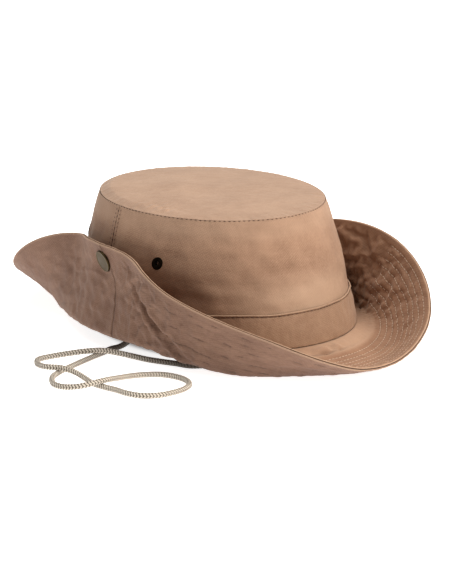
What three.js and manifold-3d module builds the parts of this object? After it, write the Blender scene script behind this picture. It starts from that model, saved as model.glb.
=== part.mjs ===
// A cloth safari hat. It stands by itself, with both sides of the quilted brim folded up and closed on
// snaps, and its chin cord lies beside it. Millimetres, +Z up, standing on z = 0. The front dip of the
// brim points to -Y and the two folded sides to -X and +X. Angles go round the hat from the front (0)
// by the +X side (90) and the back (180) to the -X side (270).
import * as THREE from "three";
import { mergeVertices } from "three/addons/utils/BufferGeometryUtils.js";
import Module from "manifold-3d";

const wasm = await Module();
wasm.setup();

// ---- Driving sizes ----
const CLOTH = 1.5; // one layer of crown cloth with its facing
const BRIM_CLOTH = 2; // the quilted brim
const BRIM_WIDTH = 62; // from the seam at the crown's foot to the hem
const GAP = 0.3; // clearance between touching pieces
const CROWN_HEIGHT = 82; // from the crown's foot to the rim of the tip
const TIP_DOME = 4; // rise of the tip's middle above its rim
const BAND_HEIGHT = 23.5; // the top edge of the hat band above the crown's foot
const FOOT_HEIGHT = 9; // the crown's foot above the surface that the hat stands on
const BAND_LIFT = 1.1; // the band's lower edge above the brim cloth
const SEAM_ALLOWANCE = 1.6; // brim cloth turned in under the band
const HAT_PLACE = { x: -9.5, y: -1 }; // puts the hat's box, without the cord, over the origin
const TIP_LEAN = { x: -2, y: 1.4 }; // how far the soft crown leans at its top

const ANCHOR = { width: 12, height: 9, thickness: 3, clear: 0.6 }; // the sewn tab that holds a cord end
const EYELET = {
  outer: 4.4, // radius of the flange
  bore: 1.7,
  barrel: 2.4,
  flange: 0.6, // height of the rolled flange on the outer face
  roll: 0.7, // how far the flange's top is rolled in from its edge
  backFlange: 0.5, // height of the flange on the inner face
  height: 52.4, // above the crown's foot
  fromFront: 63, // degrees from the middle of the front
  fromBack: 46, // degrees from the middle of the back
};
const SNAP = {
  cap: 7.5, // radius of the outer cap
  capRise: 1.8,
  body: 5, // radius of the socket under the brim
  stud: 3.5, // radius of the stud on the crown wall
  share: 0.8, // how far across the brim the snap sits
  seat: 0.45, // the stud's clearance from the wall
};
const CORD_RADIUS = 1.8;
const CORD_SIDES = 8;
const CORD_STEPS = 100;

const SEAM_RIGHT = 89; // the side seams of the crown wall
const SEAM_LEFT = 269;
const SNAP_ANGLES = { left: 271, right: 90 };

// The crown wall's outer face, an oval at each height above the crown's foot.
const WALL = [
  { height: -1.5, halfLength: 101.1, halfWidth: 86.1 },
  { height: 20, halfLength: 97.5, halfWidth: 83 },
  { height: 40, halfLength: 94.5, halfWidth: 80.5 },
  { height: 64, halfLength: 88.5, halfWidth: 75 },
  { height: 77, halfLength: 84.7, halfWidth: 71.2 },
  { height: 82, halfLength: 82.8, halfWidth: 69.2 },
];

// The band's outer face.
const BAND = [
  { height: 0, halfLength: 103, halfWidth: 88 },
  { height: 12, halfLength: 101, halfWidth: 86.2 },
  { height: BAND_HEIGHT, halfLength: 99.6, halfWidth: 84.6 },
];
const ROOT = BAND[0]; // the oval where the brim leaves the crown

// The brim's section at each angle: how high its root is, its tilt at the root and at the hem, the
// shares of its width between which it bends from one to the other, how far the section is swept round
// from square to the crown, and how far the hem flares out again past the snap.
const BRIM = [
  { angle: 0, rise: -2, root: -20, hem: 18, from: 0.15, to: 0.8, sweep: 8, flare: 0 },
  { angle: 30, rise: -2, root: -19, hem: 40, from: 0.15, to: 0.8, sweep: -3, flare: 0 },
  { angle: 60, rise: -2, root: -5, hem: 69, from: 0, to: 0.25, sweep: 1, flare: 0 },
  { angle: 90, rise: -1, root: 3, hem: 110, from: 0, to: 0.25, sweep: 0, flare: -22 },
  { angle: 120, rise: -2, root: -14, hem: 90, from: 0.05, to: 0.95, sweep: -2, flare: 0 },
  { angle: 150, rise: -2, root: -18, hem: 32, from: 0.15, to: 1, sweep: -3, flare: 0 },
  { angle: 180, rise: -2, root: -20, hem: 4, from: 0.1, to: 0.8, sweep: 0, flare: 0 },
  { angle: 210, rise: -2, root: -28, hem: 36, from: 0.15, to: 0.35, sweep: 9, flare: 0 },
  { angle: 240, rise: -1, root: -15, hem: 98, from: 0, to: 0.2, sweep: 11, flare: -10 },
  { angle: 262, rise: 0.5, root: 5, hem: 98, from: 0, to: 0.12, sweep: -2, flare: -20 },
  { angle: 278, rise: 0.5, root: 5, hem: 98, from: 0, to: 0.12, sweep: -6, flare: -22 },
  { angle: 292, rise: 0, root: 2, hem: 95, from: 0, to: 0.25, sweep: -8, flare: -12 },
  { angle: 310, rise: -1, root: -10, hem: 75, from: 0.15, to: 0.35, sweep: 5, flare: 0 },
  { angle: 335, rise: -2, root: -19, hem: 61, from: 0.3, to: 0.5, sweep: 0, flare: 0 },
];
const FLARE_FROM = 0.55; // the share of the width where the flare starts
const SHORTEST_BEND = 0.08; // the least share of the width that a bend takes
const SUMMING_STEPS = 40; // steps over the full width in which the tilt is summed up

// The brim's main folds: the middle of each crest, how many degrees it turns over the full width, how
// wide it is in degrees and how long as a share of the width, and how far it stands up towards the crown.
const FOLDS = [
  { angle: 297, share: 0.58, turn: -42, spread: 3.5, reach: 0.3, depth: -2 },
  { angle: 304, share: 0.55, turn: -50, spread: 3.5, reach: 0.25, depth: 1.6 },
  { angle: 60, share: 0.5, turn: -39, spread: 3.5, reach: 0.3, depth: 1.8 },
  { angle: 76, share: 0.75, turn: 10, spread: 4, reach: 0.2, depth: 2 },
  { angle: 68, share: 0.7, turn: 14, spread: 3, reach: 0.25, depth: -1.6 },
  { angle: 240, share: 0.5, turn: 0, spread: 9, reach: 0.12, depth: 1 },
];

// The chin cord's route: down from its left anchor inside the crown, out under the brim, two loops on the
// standing surface, back under the brim and plainly across to the right anchor. It passes over itself
// three times.
const CORD_ROUTE = [
  [-88.7, -23.5, 14], [-88.9, -23.1, 9.4], [-91, -19.6, 5.2], [-94.4, -16.8, 2.8], [-98.9, -15.3, 2],
  [-108.1, -20.4, 2], [-117.6, -25.1, 2], [-127.1, -29.8, 2], [-136.4, -34.7, 2], [-145.7, -39.6, 2],
  [-154.9, -44.9, 2], [-163.3, -51.3, 2], [-169.5, -59.8, 2], [-172.9, -69.7, 2.1], [-170.8, -79.9, 2.7],
  [-164, -87.5, 4.2], [-153.7, -89, 5.6], [-143.5, -86.8, 5.2], [-134.3, -82, 3.5], [-124.3, -78.8, 2.4],
  [-113.9, -79.9, 2], [-105, -85.3, 2], [-100, -94.5, 2], [-98.9, -105, 2], [-102.7, -114.7, 2],
  [-110.8, -121.3, 2], [-120.9, -124.3, 2], [-131.4, -124.6, 2], [-140.7, -119.7, 2], [-145.4, -110.4, 2],
  [-147.1, -100, 2], [-149.8, -89.9, 2], [-151.6, -79.6, 2.1], [-150.8, -69.1, 2.7], [-151.9, -58.7, 4.3],
  [-156, -49.2, 5.6], [-161.4, -40.5, 5.1], [-160.3, -30.1, 3.5], [-157, -20.2, 2.3], [-150.7, -11.9, 2],
  [-140.6, -11.9, 2.5], [-131, -16.2, 3.8], [-122.7, -22.4, 5.4], [-113.1, -26.8, 5.5], [-104.5, -32.6, 3.9],
  [-98, -40.8, 2.6], [-93.3, -50.2, 2], [-88.5, -59.6, 2], [-83.2, -68.7, 2], [-78.2, -78.1, 2],
  [-62, -84.5, 2], [-38, -86, 2], [-8, -81, 2], [25, -66, 2], [51, -45, 2],
  [62, -33, 2.5], [67.6, -26.2, 5], [69.5, -23.5, 8.9], [69.7, -23.5, 14],
];

// How finely each surface is stepped.
const STEPS = {
  aroundBrim: 88,
  acrossBrim: 10,
  aroundHalf: 28,
  upWall: 5,
  aroundBand: 56,
  upBand: 2,
  aroundTip: 56,
  acrossTip: 3,
  aroundHole: 16,
  aroundEyelet: 14,
  aroundCap: 20,
  aroundBase: 12,
};

// ---- Small helpers ----
const radians = THREE.MathUtils.degToRad;
const smooth = (t) => THREE.MathUtils.smoothstep(t, 0, 1);

/** A smooth curve through one column of a table, round the whole hat where a period is given. */
function tableAt(rows, key, column, x, period = 0) {
  const count = rows.length;
  const at = (i) => {
    if (!period) return rows[THREE.MathUtils.clamp(i, 0, count - 1)];
    return rows[THREE.MathUtils.euclideanModulo(i, count)];
  };
  const place = (i) => at(i)[key] + (period ? Math.floor(i / count) * period : 0);
  const here = period ? THREE.MathUtils.euclideanModulo(x - rows[0][key], period) + rows[0][key] : x;
  let i = 0;
  while (i < count - (period ? 1 : 2) && place(i + 1) <= here) i += 1;
  const span = place(i + 1) - place(i);
  const t = (here - place(i)) / span;
  const slope = (j) => {
    const reach = place(j + 1) - place(j - 1);
    return ((at(j + 1)[column] - at(j - 1)[column]) / reach) * span;
  };
  const start = at(i)[column];
  const end = at(i + 1)[column];
  const bend = 2 * start - 2 * end + slope(i) + slope(i + 1);
  const lift = -3 * start + 3 * end - 2 * slope(i) - slope(i + 1);
  return ((bend * t + lift) * t + slope(i)) * t + start;
}

/** The point of an oval table at an angle and a height, moved outwards by `out`, with the crown's lean. */
function ovalPoint(table, angle, height, out = 0) {
  const a = radians(angle);
  const halfWidth = tableAt(table, "height", "halfWidth", height) + out;
  const halfLength = tableAt(table, "height", "halfLength", height) + out;
  const lean = height / CROWN_HEIGHT;
  return new THREE.Vector3(
    halfWidth * Math.sin(a) + TIP_LEAN.x * lean,
    -halfLength * Math.cos(a) + TIP_LEAN.y * lean,
    height,
  );
}

/** Direction square to the root oval, level, at an angle. */
function rootOutward(angle) {
  const a = radians(angle);
  return new THREE.Vector3(ROOT.halfLength * Math.sin(a), -ROOT.halfWidth * Math.cos(a), 0).normalize();
}

/** How far all folds together push the brim's face at one place. */
function foldDepth(angle, share) {
  return FOLDS.reduce((sum, fold) => {
    const crest = fold.angle + fold.turn * (share - fold.share);
    const aside = THREE.MathUtils.euclideanModulo(angle - crest + 180, 360) - 180;
    const along = share - fold.share;
    return sum + fold.depth * Math.exp(-((aside / fold.spread) ** 2) - (along / fold.reach) ** 2);
  }, 0);
}

/** The brim's lower face at an angle and a share of its width: the tilt summed up along the cloth. */
function brimLower(angle, share) {
  const row = (column) => tableAt(BRIM, "angle", column, angle, 360);
  const [root, hem, from, to, flare] = ["root", "hem", "from", "to", "flare"].map(row);
  const tilt = (s) => {
    const bent = root + (hem - root) * smooth((s - from) / Math.max(to - from, SHORTEST_BEND));
    return radians(bent + flare * smooth((s - FLARE_FROM) / (1 - FLARE_FROM)));
  };
  const steps = Math.max(1, Math.ceil(Math.abs(share) * SUMMING_STEPS));
  const step = share / steps;
  let out = 0;
  let up = 0;
  for (let i = 0; i < steps; i += 1) {
    const slope = tilt((i + 0.5) * step);
    out += Math.cos(slope) * step * BRIM_WIDTH;
    up += Math.sin(slope) * step * BRIM_WIDTH;
  }
  const fold = foldDepth(angle, share);
  out -= Math.sin(tilt(share)) * fold;
  up += Math.cos(tilt(share)) * fold;
  const a = radians(angle);
  const outward = rootOutward(angle).applyAxisAngle(new THREE.Vector3(0, 0, 1), radians(row("sweep")));
  const point = new THREE.Vector3(ROOT.halfWidth * Math.sin(a), -ROOT.halfLength * Math.cos(a), row("rise"));
  point.addScaledVector(outward, out);
  point.z = Math.max(point.z + up, -FOOT_HEIGHT);
  return point;
}

/** Square to the brim's face, towards the crown. */
function brimNormal(angle, share) {
  const along = brimLower(angle + 0.5, share).sub(brimLower(angle - 0.5, share));
  const across = brimLower(angle, share + 0.01).sub(brimLower(angle, share - 0.01));
  return across.cross(along).normalize();
}

/** A point of the brim's cloth, `lift` above its lower face. */
function brimPoint(angle, share, lift) {
  return brimLower(angle, share).addScaledVector(brimNormal(angle, share), lift);
}

/** Turns a closed geometry's faces outwards where its volume comes out negative. */
function facingOut(geometry) {
  const position = geometry.getAttribute("position");
  const index = geometry.getIndex().array;
  const corner = (k) => new THREE.Vector3().fromBufferAttribute(position, index[k]);
  let volume = 0;
  for (let k = 0; k < index.length; k += 3) {
    volume += corner(k).dot(corner(k + 1).cross(corner(k + 2)));
  }
  if (volume < 0) geometry.setIndex(Array.from(index).reverse());
  return geometry;
}

/** Merges shared vertices and drops the triangles that close up to a line. */
function welded(geometry) {
  geometry.deleteAttribute("normal");
  geometry.deleteAttribute("uv");
  const merged = mergeVertices(geometry, 1e-3);
  const index = merged.getIndex().array;
  const kept = [];
  for (let k = 0; k < index.length; k += 3) {
    const [a, b, c] = [index[k], index[k + 1], index[k + 2]];
    if (a !== b && b !== c && c !== a) kept.push(a, b, c);
  }
  return merged.setIndex(kept);
}

/** A closed slab between two faces, each a function of u and v from 0 to 1, joined along its borders. */
function slab(outer, inner, stepsU, stepsV) {
  const points = [];
  for (const face of [outer, inner]) {
    for (let i = 0; i <= stepsU; i += 1) {
      for (let j = 0; j <= stepsV; j += 1) points.push(face(i / stepsU, j / stepsV));
    }
  }
  const inside = (stepsU + 1) * (stepsV + 1);
  const at = (i, j) => i * (stepsV + 1) + j;
  const index = [];
  const quad = (a, b, c, d) => index.push(a, b, c, a, c, d);
  for (let i = 0; i < stepsU; i += 1) {
    for (let j = 0; j < stepsV; j += 1) {
      const [a, b, c, d] = [at(i, j), at(i + 1, j), at(i + 1, j + 1), at(i, j + 1)];
      quad(a, b, c, d);
      quad(inside + d, inside + c, inside + b, inside + a);
    }
    quad(at(i, 0), inside + at(i, 0), inside + at(i + 1, 0), at(i + 1, 0));
    quad(at(i + 1, stepsV), inside + at(i + 1, stepsV), inside + at(i, stepsV), at(i, stepsV));
  }
  const closed = points[0].distanceTo(points[at(stepsU, 0)]) < 1e-6;
  for (let j = 0; j < stepsV && !closed; j += 1) {
    quad(at(0, j + 1), inside + at(0, j + 1), inside + at(0, j), at(0, j));
    quad(at(stepsU, j), inside + at(stepsU, j), inside + at(stepsU, j + 1), at(stepsU, j + 1));
  }
  const geometry = new THREE.BufferGeometry().setFromPoints(points).setIndex(index);
  return facingOut(welded(geometry));
}

/** A geometry as a solid for joining and cutting. */
function toSolid(geometry) {
  const mesh = new wasm.Mesh({
    numProp: 3,
    vertProperties: geometry.getAttribute("position").array,
    triVerts: new Uint32Array(geometry.getIndex().array),
  });
  return new wasm.Manifold(mesh);
}

/** A solid back as a geometry. */
function toGeometry(solid) {
  const mesh = solid.getMesh();
  return new THREE.BufferGeometry()
    .setAttribute("position", new THREE.BufferAttribute(mesh.vertProperties, 3))
    .setIndex(new THREE.BufferAttribute(mesh.triVerts, 1));
}

/** A geometry less others. */
function cut(geometry, ...tools) {
  return toGeometry(tools.reduce((left, tool) => left.subtract(toSolid(tool)), toSolid(geometry)));
}

/** A turned piece whose axis stands at a point along a direction. */
function turned(profile, segments, point, direction) {
  const outline = profile.map(([radius, height]) => new THREE.Vector2(radius, height));
  const lathe = welded(new THREE.LatheGeometry(outline, segments));
  const turn = new THREE.Quaternion().setFromUnitVectors(new THREE.Vector3(0, 1, 0), direction);
  return facingOut(lathe.applyQuaternion(turn).translate(point.x, point.y, point.z));
}

// ---- Crown ----
const WALL_TOP = CROWN_HEIGHT - CLOTH - GAP;
const WALL_FOOT = WALL[0].height;

/** Half of the crown wall between two side seams. */
function wallSlab(from, to) {
  const angle = (u) => THREE.MathUtils.lerp(from, to, u);
  const height = (v) => THREE.MathUtils.lerp(WALL_FOOT, WALL_TOP, v);
  return slab(
    (u, v) => ovalPoint(WALL, angle(u), height(v)),
    (u, v) => ovalPoint(WALL, angle(u), height(v), -CLOTH),
    STEPS.aroundHalf,
    STEPS.upWall,
  );
}

/** The wall's outward direction at an angle and a height. */
function wallNormal(angle, height) {
  const along = ovalPoint(WALL, angle + 1, height).sub(ovalPoint(WALL, angle - 1, height));
  const upward = ovalPoint(WALL, angle, height + 1).sub(ovalPoint(WALL, angle, height - 1));
  return along.cross(upward).normalize();
}

/** A turned piece standing square on the crown wall. */
function turnedOnWall(profile, segments, angle, height) {
  return turned(profile, segments, ovalPoint(WALL, angle, height), wallNormal(angle, height));
}

/** A half wall with the round holes for its two eyelets. */
function crownWall(from, to, eyeletAngles) {
  const reach = 3 * CLOTH;
  const radius = EYELET.barrel + GAP;
  const profile = [[0, -reach], [radius, -reach], [radius, reach], [0, reach]];
  const holes = eyeletAngles.map((angle) => turnedOnWall(profile, STEPS.aroundHole, angle, EYELET.height));
  return cut(wallSlab(from, to), ...holes);
}

/** The oval tip, slightly domed, lying on the wall's top edge. */
function crownTip() {
  const face = (drop) => (u, v) => {
    const rim = ovalPoint(WALL, 360 * u, CROWN_HEIGHT);
    const middle = new THREE.Vector3(TIP_LEAN.x, TIP_LEAN.y, CROWN_HEIGHT);
    const point = middle.lerp(rim, v);
    point.z += TIP_DOME * (1 - v * v) - drop;
    return point;
  };
  return slab(face(0), face(CLOTH), STEPS.aroundTip, STEPS.acrossTip);
}

/** The band round the foot of the wall, its lower edge following the brim's root. */
function hatBand() {
  const foot = (angle) => tableAt(BRIM, "angle", "rise", angle, 360) + BRIM_CLOTH + BAND_LIFT;
  const height = (u, v) => THREE.MathUtils.lerp(foot(360 * u), BAND_HEIGHT, v);
  return slab(
    (u, v) => ovalPoint(BAND, 360 * u, height(u, v)),
    (u, v) => ovalPoint(WALL, 360 * u, height(u, v), GAP),
    STEPS.aroundBand,
    STEPS.upBand,
  );
}

/** A rolled metal eyelet whose barrel passes through the wall, with a flange on each face. */
function eyelet(angle) {
  const { outer, bore, barrel, flange, roll, backFlange } = EYELET;
  const front = GAP;
  const back = -CLOTH - GAP;
  const profile = [
    [bore, front + flange], [outer - roll, front + flange], [outer, front], [barrel, front],
    [barrel, back], [outer, back], [bore, back - backFlange], [bore, front + flange],
  ];
  return turnedOnWall(profile, STEPS.aroundEyelet, angle, EYELET.height);
}

// ---- Brim ----
/** The brim from its seam allowance to the hem, as a slab that `slack` makes thicker both ways. */
function brimSlab(slack = 0) {
  const inset = -SEAM_ALLOWANCE / BRIM_WIDTH;
  const share = (v) => (v === 0 ? inset : (v * (STEPS.acrossBrim + 1) - 1) / STEPS.acrossBrim);
  return slab(
    (u, v) => brimPoint(360 * u, share(v), -slack),
    (u, v) => brimPoint(360 * u, share(v), BRIM_CLOTH + slack),
    STEPS.aroundBrim,
    STEPS.acrossBrim + 1,
  );
}

// ---- Snaps ----
/** A plain domed cap on the outer face of the folded brim. */
function snapCap(angle, looseBrim) {
  const { cap, capRise, share } = SNAP;
  const profile = [
    [0, -1], [cap, -1], [cap, capRise * 0.5], [cap * 0.85, capRise * 0.9], [0, capRise * 1.15],
  ];
  const place = brimPoint(angle, share, 0);
  return cut(turned(profile, STEPS.aroundCap, place, brimNormal(angle, share).negate()), looseBrim);
}

/** The closed socket and stud, standing square on the crown wall and reaching to the folded brim. */
function snapBase(angle, looseBrim) {
  const { body, stud, share, seat } = SNAP;
  const brimMiddle = brimPoint(angle, share, BRIM_CLOTH / 2);
  const foot = ovalPoint(WALL, angle, brimMiddle.z, seat);
  const length = foot.distanceTo(brimMiddle);
  const profile = [
    [0, 0], [stud, 0], [stud, length * 0.4], [body, length * 0.5], [body, length], [0, length],
  ];
  return cut(turned(profile, STEPS.aroundBase, foot, wallNormal(angle, foot.z)), looseBrim);
}

// ---- Chin cord ----
/** The braided cord as a plain tube along its route. */
function chinCord() {
  const section = new THREE.Shape(
    Array.from({ length: CORD_SIDES }, (_, k) => {
      const turn = ((k + 0.5) / CORD_SIDES) * 2 * Math.PI;
      return new THREE.Vector2(CORD_RADIUS * Math.cos(turn), CORD_RADIUS * Math.sin(turn));
    }),
  );
  const route = new THREE.CatmullRomCurve3(CORD_ROUTE.map((p) => new THREE.Vector3(...p)));
  const tube = new THREE.ExtrudeGeometry(section, { steps: CORD_STEPS, extrudePath: route });
  return facingOut(welded(tube));
}

/** The small sewn tab over a cord end, just inside the crown wall. */
function cordAnchor(end) {
  const { width, height, thickness, clear } = ANCHOR;
  const local = new THREE.Vector3(end[0] - HAT_PLACE.x, end[1] - HAT_PLACE.y, end[2] - FOOT_HEIGHT);
  const angle = THREE.MathUtils.radToDeg(Math.atan2(local.x / ROOT.halfWidth, -local.y / ROOT.halfLength));
  const middle = local.z + 4 * GAP + height / 2;
  const outward = wallNormal(angle, middle);
  const place = ovalPoint(WALL, angle, middle, -CLOTH).addScaledVector(outward, -clear - thickness / 2);
  const upward = new THREE.Vector3(0, 0, 1).addScaledVector(outward, -outward.z).normalize();
  const basis = new THREE.Matrix4().makeBasis(upward.clone().cross(outward), upward, outward);
  const box = new THREE.BoxGeometry(width, height, thickness).applyMatrix4(basis);
  return facingOut(welded(box.translate(place.x, place.y, place.z)));
}

// ---- Assembly ----
const MATERIALS = {
  tip: { color: 0xc9a88c, roughness: 0.85, metalness: 0 },
  wall: { color: 0xb08a6c, roughness: 0.85, metalness: 0 },
  brim: { color: 0xa07f68, roughness: 0.85, metalness: 0 },
  metal: { color: 0x5c513f, roughness: 0.45, metalness: 0.8 },
  cord: { color: 0xcdbba3, roughness: 0.9, metalness: 0 },
};

const hat = new THREE.Group();
hat.position.set(HAT_PLACE.x, HAT_PLACE.y, FOOT_HEIGHT);
const safariHat = new THREE.Group();
safariHat.add(hat);

/** Adds one named piece with its own material. */
function add(group, name, geometry, material) {
  const mesh = new THREE.Mesh(geometry, new THREE.MeshStandardMaterial(MATERIALS[material]));
  mesh.name = name;
  group.add(mesh);
}

const seamClearance = THREE.MathUtils.radToDeg(GAP / 2 / ROOT.halfWidth);
const eyeletAngles = {
  left_front: 360 - EYELET.fromFront,
  left_rear: 180 + EYELET.fromBack,
  right_front: EYELET.fromFront,
  right_rear: 180 - EYELET.fromBack,
};
const frontHalf = [SEAM_LEFT - 360 + seamClearance, SEAM_RIGHT - seamClearance];
const backHalf = [SEAM_RIGHT + seamClearance, SEAM_LEFT - seamClearance];

const frontEyelets = [eyeletAngles.left_front, eyeletAngles.right_front];
const backEyelets = [eyeletAngles.left_rear, eyeletAngles.right_rear];

add(hat, "crown_tip", crownTip(), "tip");
add(hat, "crown_wall_front", crownWall(...frontHalf, frontEyelets), "wall");
add(hat, "crown_wall_back", crownWall(...backHalf, backEyelets), "wall");
add(hat, "hat_band", hatBand(), "wall");
add(hat, "brim", brimSlab(), "brim");
for (const [place, angle] of Object.entries(eyeletAngles)) {
  add(hat, `eyelet_${place}`, eyelet(angle), "metal");
}

const looseBrim = brimSlab(GAP);
for (const [side, angle] of Object.entries(SNAP_ANGLES)) {
  add(hat, `snap_cap_${side}`, snapCap(angle, looseBrim), "metal");
  add(hat, `snap_base_${side}`, snapBase(angle, looseBrim), "metal");
}
add(hat, "cord_anchor_left", cordAnchor(CORD_ROUTE.at(0)), "wall");
add(hat, "cord_anchor_right", cordAnchor(CORD_ROUTE.at(-1)), "wall");
add(safariHat, "chin_cord", chinCord(), "cord");

export default safariHat;
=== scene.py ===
"""A cloth safari hat: an oval crown, a hat band, a quilted brim snapped up at both sides and a chin cord.

Angles go round the hat in degrees, from the front (0, towards -Y) by the +X side (90) and the back (180)
to the -X side (270). Heights are above the crown's foot. Sizes are in millimetres, meshes in metres.
"""

import logging
from dataclasses import dataclass
from enum import Enum

import bpy
import numpy as np
from mathutils import Matrix, Vector


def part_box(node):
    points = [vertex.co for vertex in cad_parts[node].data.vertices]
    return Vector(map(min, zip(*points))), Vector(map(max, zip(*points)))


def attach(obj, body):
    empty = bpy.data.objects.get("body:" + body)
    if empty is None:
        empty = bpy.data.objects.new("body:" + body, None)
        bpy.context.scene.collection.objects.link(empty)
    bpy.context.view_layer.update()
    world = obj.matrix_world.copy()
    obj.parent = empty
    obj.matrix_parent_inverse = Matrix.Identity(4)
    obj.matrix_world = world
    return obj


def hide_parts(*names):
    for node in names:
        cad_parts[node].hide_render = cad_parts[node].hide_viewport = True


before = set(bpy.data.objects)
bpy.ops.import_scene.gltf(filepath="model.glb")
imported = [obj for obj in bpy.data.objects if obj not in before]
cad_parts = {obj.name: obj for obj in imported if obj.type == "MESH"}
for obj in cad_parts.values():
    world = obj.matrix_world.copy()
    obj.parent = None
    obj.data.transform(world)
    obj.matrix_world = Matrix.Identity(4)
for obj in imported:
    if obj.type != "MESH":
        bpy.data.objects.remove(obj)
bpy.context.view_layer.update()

LOG = logging.getLogger("safari_hat")
Array = np.ndarray
MM = 0.001
BODY = "root"


class Slot(Enum):
    """The material slots of the record."""

    CROWN = "crown_cloth"
    BRIM = "brim_cloth"
    EYELET = "eyelet_metal"
    SNAP = "snap_metal"
    CORD = "cord_braid"


class Ply(Enum):
    """The two quilted layers of the brim."""

    UPPER = "upper"
    UNDER = "under"


class Side(Enum):
    """The two folded sides of the hat."""

    LEFT = "left"
    RIGHT = "right"


# ---- Sums on whole arrays ----
def smooth(t: Array) -> Array:
    """An S-shaped step from 0 to 1 as t goes from 0 to 1."""
    t = np.clip(t, 0.0, 1.0)
    return t * t * (3.0 - 2.0 * t)


def bell(t: Array) -> Array:
    """A round hump that is 1 where t is 0 and fades by about t = 2."""
    return np.exp(-np.square(t))


def unit(v: Array) -> Array:
    """Vectors of length 1 with the same directions."""
    return v / np.maximum(np.linalg.norm(v, axis=-1, keepdims=True), 1e-12)


def turn_between(angle: Array, other: Array) -> Array:
    """The signed turn in degrees from one angle to another, from -180 to 180."""
    return np.mod(angle - other + 180.0, 360.0) - 180.0


def near(angle: Array, middle: float, spread: float) -> Array:
    """A round hump, 1 high, that fades both ways round the hat from an angle."""
    return bell(turn_between(angle, middle) / spread)


@dataclass(frozen=True)
class Table:
    """Rows of sizes with named columns, read as one smooth curve through the rows.

    Attributes:
        names: The columns' names; the rows are placed by the first.
        rows: One tuple of numbers a row.
        period: The length after which the rows repeat, or 0 for a table with two ends.
    """

    names: tuple[str, ...]
    rows: tuple[tuple[float, ...], ...]
    period: float = 0.0

    def at(self, column: str, x: Array) -> Array:
        """Reads a column: cubic pieces whose slope at a row is that between its two neighbours.

        Args:
            column: The column's name.
            x: Places along the first column.

        Returns:
            The column's value at each place.
        """
        data = np.array(self.rows)
        key, value = data[:, 0], data[:, self.names.index(column)]
        x = np.asarray(x, float)
        if self.period:
            key = np.concatenate([key[-2:] - self.period, key, key[:2] + self.period])
            value = np.concatenate([value[-2:], value, value[:2]])
            x = np.mod(x - key[2], self.period) + key[2]
        else:
            key = np.concatenate([key[:1], key, key[-1:]])
            value = np.concatenate([value[:1], value, value[-1:]])
        i = np.clip(np.searchsorted(key, x, side="right") - 1, 1, len(key) - 3)
        span = key[i + 1] - key[i]
        t = (x - key[i]) / span
        start_slope = (value[i + 1] - value[i - 1]) / (key[i + 1] - key[i - 1]) * span
        end_slope = (value[i + 2] - value[i]) / (key[i + 2] - key[i]) * span
        start, end = value[i], value[i + 1]
        bend = 2 * start - 2 * end + start_slope + end_slope
        lift = 3 * end - 3 * start - 2 * start_slope - end_slope
        return ((bend * t + lift) * t + start_slope) * t + start


@dataclass(frozen=True)
class Ripple:
    """Soft random unevenness of cloth: a sum of cosine waves in random directions, about 1 high.

    Attributes:
        seed: Picks the waves.
        length: The waves' usual length in mm.
        stretch: How many times longer the waves are along the first way than along the second.
        girth: The length in mm after which the first way comes round again.
        waves: How many waves are summed.
    """

    seed: int
    length: float
    stretch: float = 1.0
    girth: float = 754.0
    waves: int = 20

    def at(self, along: Array, across: Array) -> Array:
        """The sum of the waves.

        Args:
            along: Places in mm along the cloth.
            across: Places in mm across it.

        Returns:
            The unevenness at each place.
        """
        draw = np.random.default_rng(self.seed)
        turn = draw.uniform(0.0, np.pi, self.waves)
        size = 2 * np.pi / (self.length * draw.uniform(0.7, 1.5, self.waves))
        around = np.round(size * np.cos(turn) / self.stretch * self.girth / (2 * np.pi))
        around *= 2 * np.pi / self.girth
        up = size * np.sin(turn)
        phase = draw.uniform(0.0, 2 * np.pi, self.waves)
        total = np.zeros(np.broadcast_shapes(np.shape(along), np.shape(across)))
        for k in range(self.waves):
            total += np.cos(around[k] * along + up[k] * across + phase[k])
        return total * np.sqrt(2.0 / self.waves)


# ---- The hat's form, with the sizes of its CAD solids ----
WALL = Table(("height", "half_length", "half_width"), (
    (-1.5, 101.1, 86.1), (20, 97.5, 83), (40, 94.5, 80.5), (64, 88.5, 75), (77, 84.7, 71.2),
    (82, 82.8, 69.2)))
BAND = Table(("height", "half_length", "half_width"), ((0, 103, 88), (12, 101, 86.2), (23.5, 99.6, 84.6)))
BRIM = Table(
    ("angle", "rise", "root", "hem", "start", "end", "sweep", "flare"),
    (
        (0, -2, -20, 18, 0.15, 0.8, 8, 0),
        (30, -2, -19, 40, 0.15, 0.8, -3, 0),
        (60, -2, -5, 69, 0, 0.25, 1, 0),
        (90, -1, 3, 110, 0, 0.25, 0, -22),
        (120, -2, -14, 90, 0.05, 0.95, -2, 0),
        (150, -2, -18, 32, 0.15, 1, -3, 0),
        (180, -2, -20, 4, 0.1, 0.8, 0, 0),
        (210, -2, -28, 36, 0.15, 0.35, 9, 0),
        (240, -1, -15, 98, 0, 0.2, 11, -10),
        (262, 0.5, 5, 98, 0, 0.12, -2, -20),
        (278, 0.5, 5, 98, 0, 0.12, -6, -22),
        (292, 0, 2, 95, 0, 0.25, -8, -12),
        (310, -1, -10, 75, 0.15, 0.35, 5, 0),
        (335, -2, -19, 61, 0.3, 0.5, 0, 0),
    ),
    360.0,
)
# Each fold: angle, share and turn of its crest, its spread in degrees, its reach and its depth.
FOLDS = (
    (297, 0.58, -42, 3.5, 0.3, -1.5), (304, 0.55, -50, 3.5, 0.25, 1.6), (60, 0.5, -39, 3.5, 0.3, 1.0),
    (76, 0.75, 10, 4, 0.2, 2), (68, 0.7, 14, 3, 0.25, -1.6), (240, 0.5, 0, 9, 0.12, 1),
)
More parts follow.
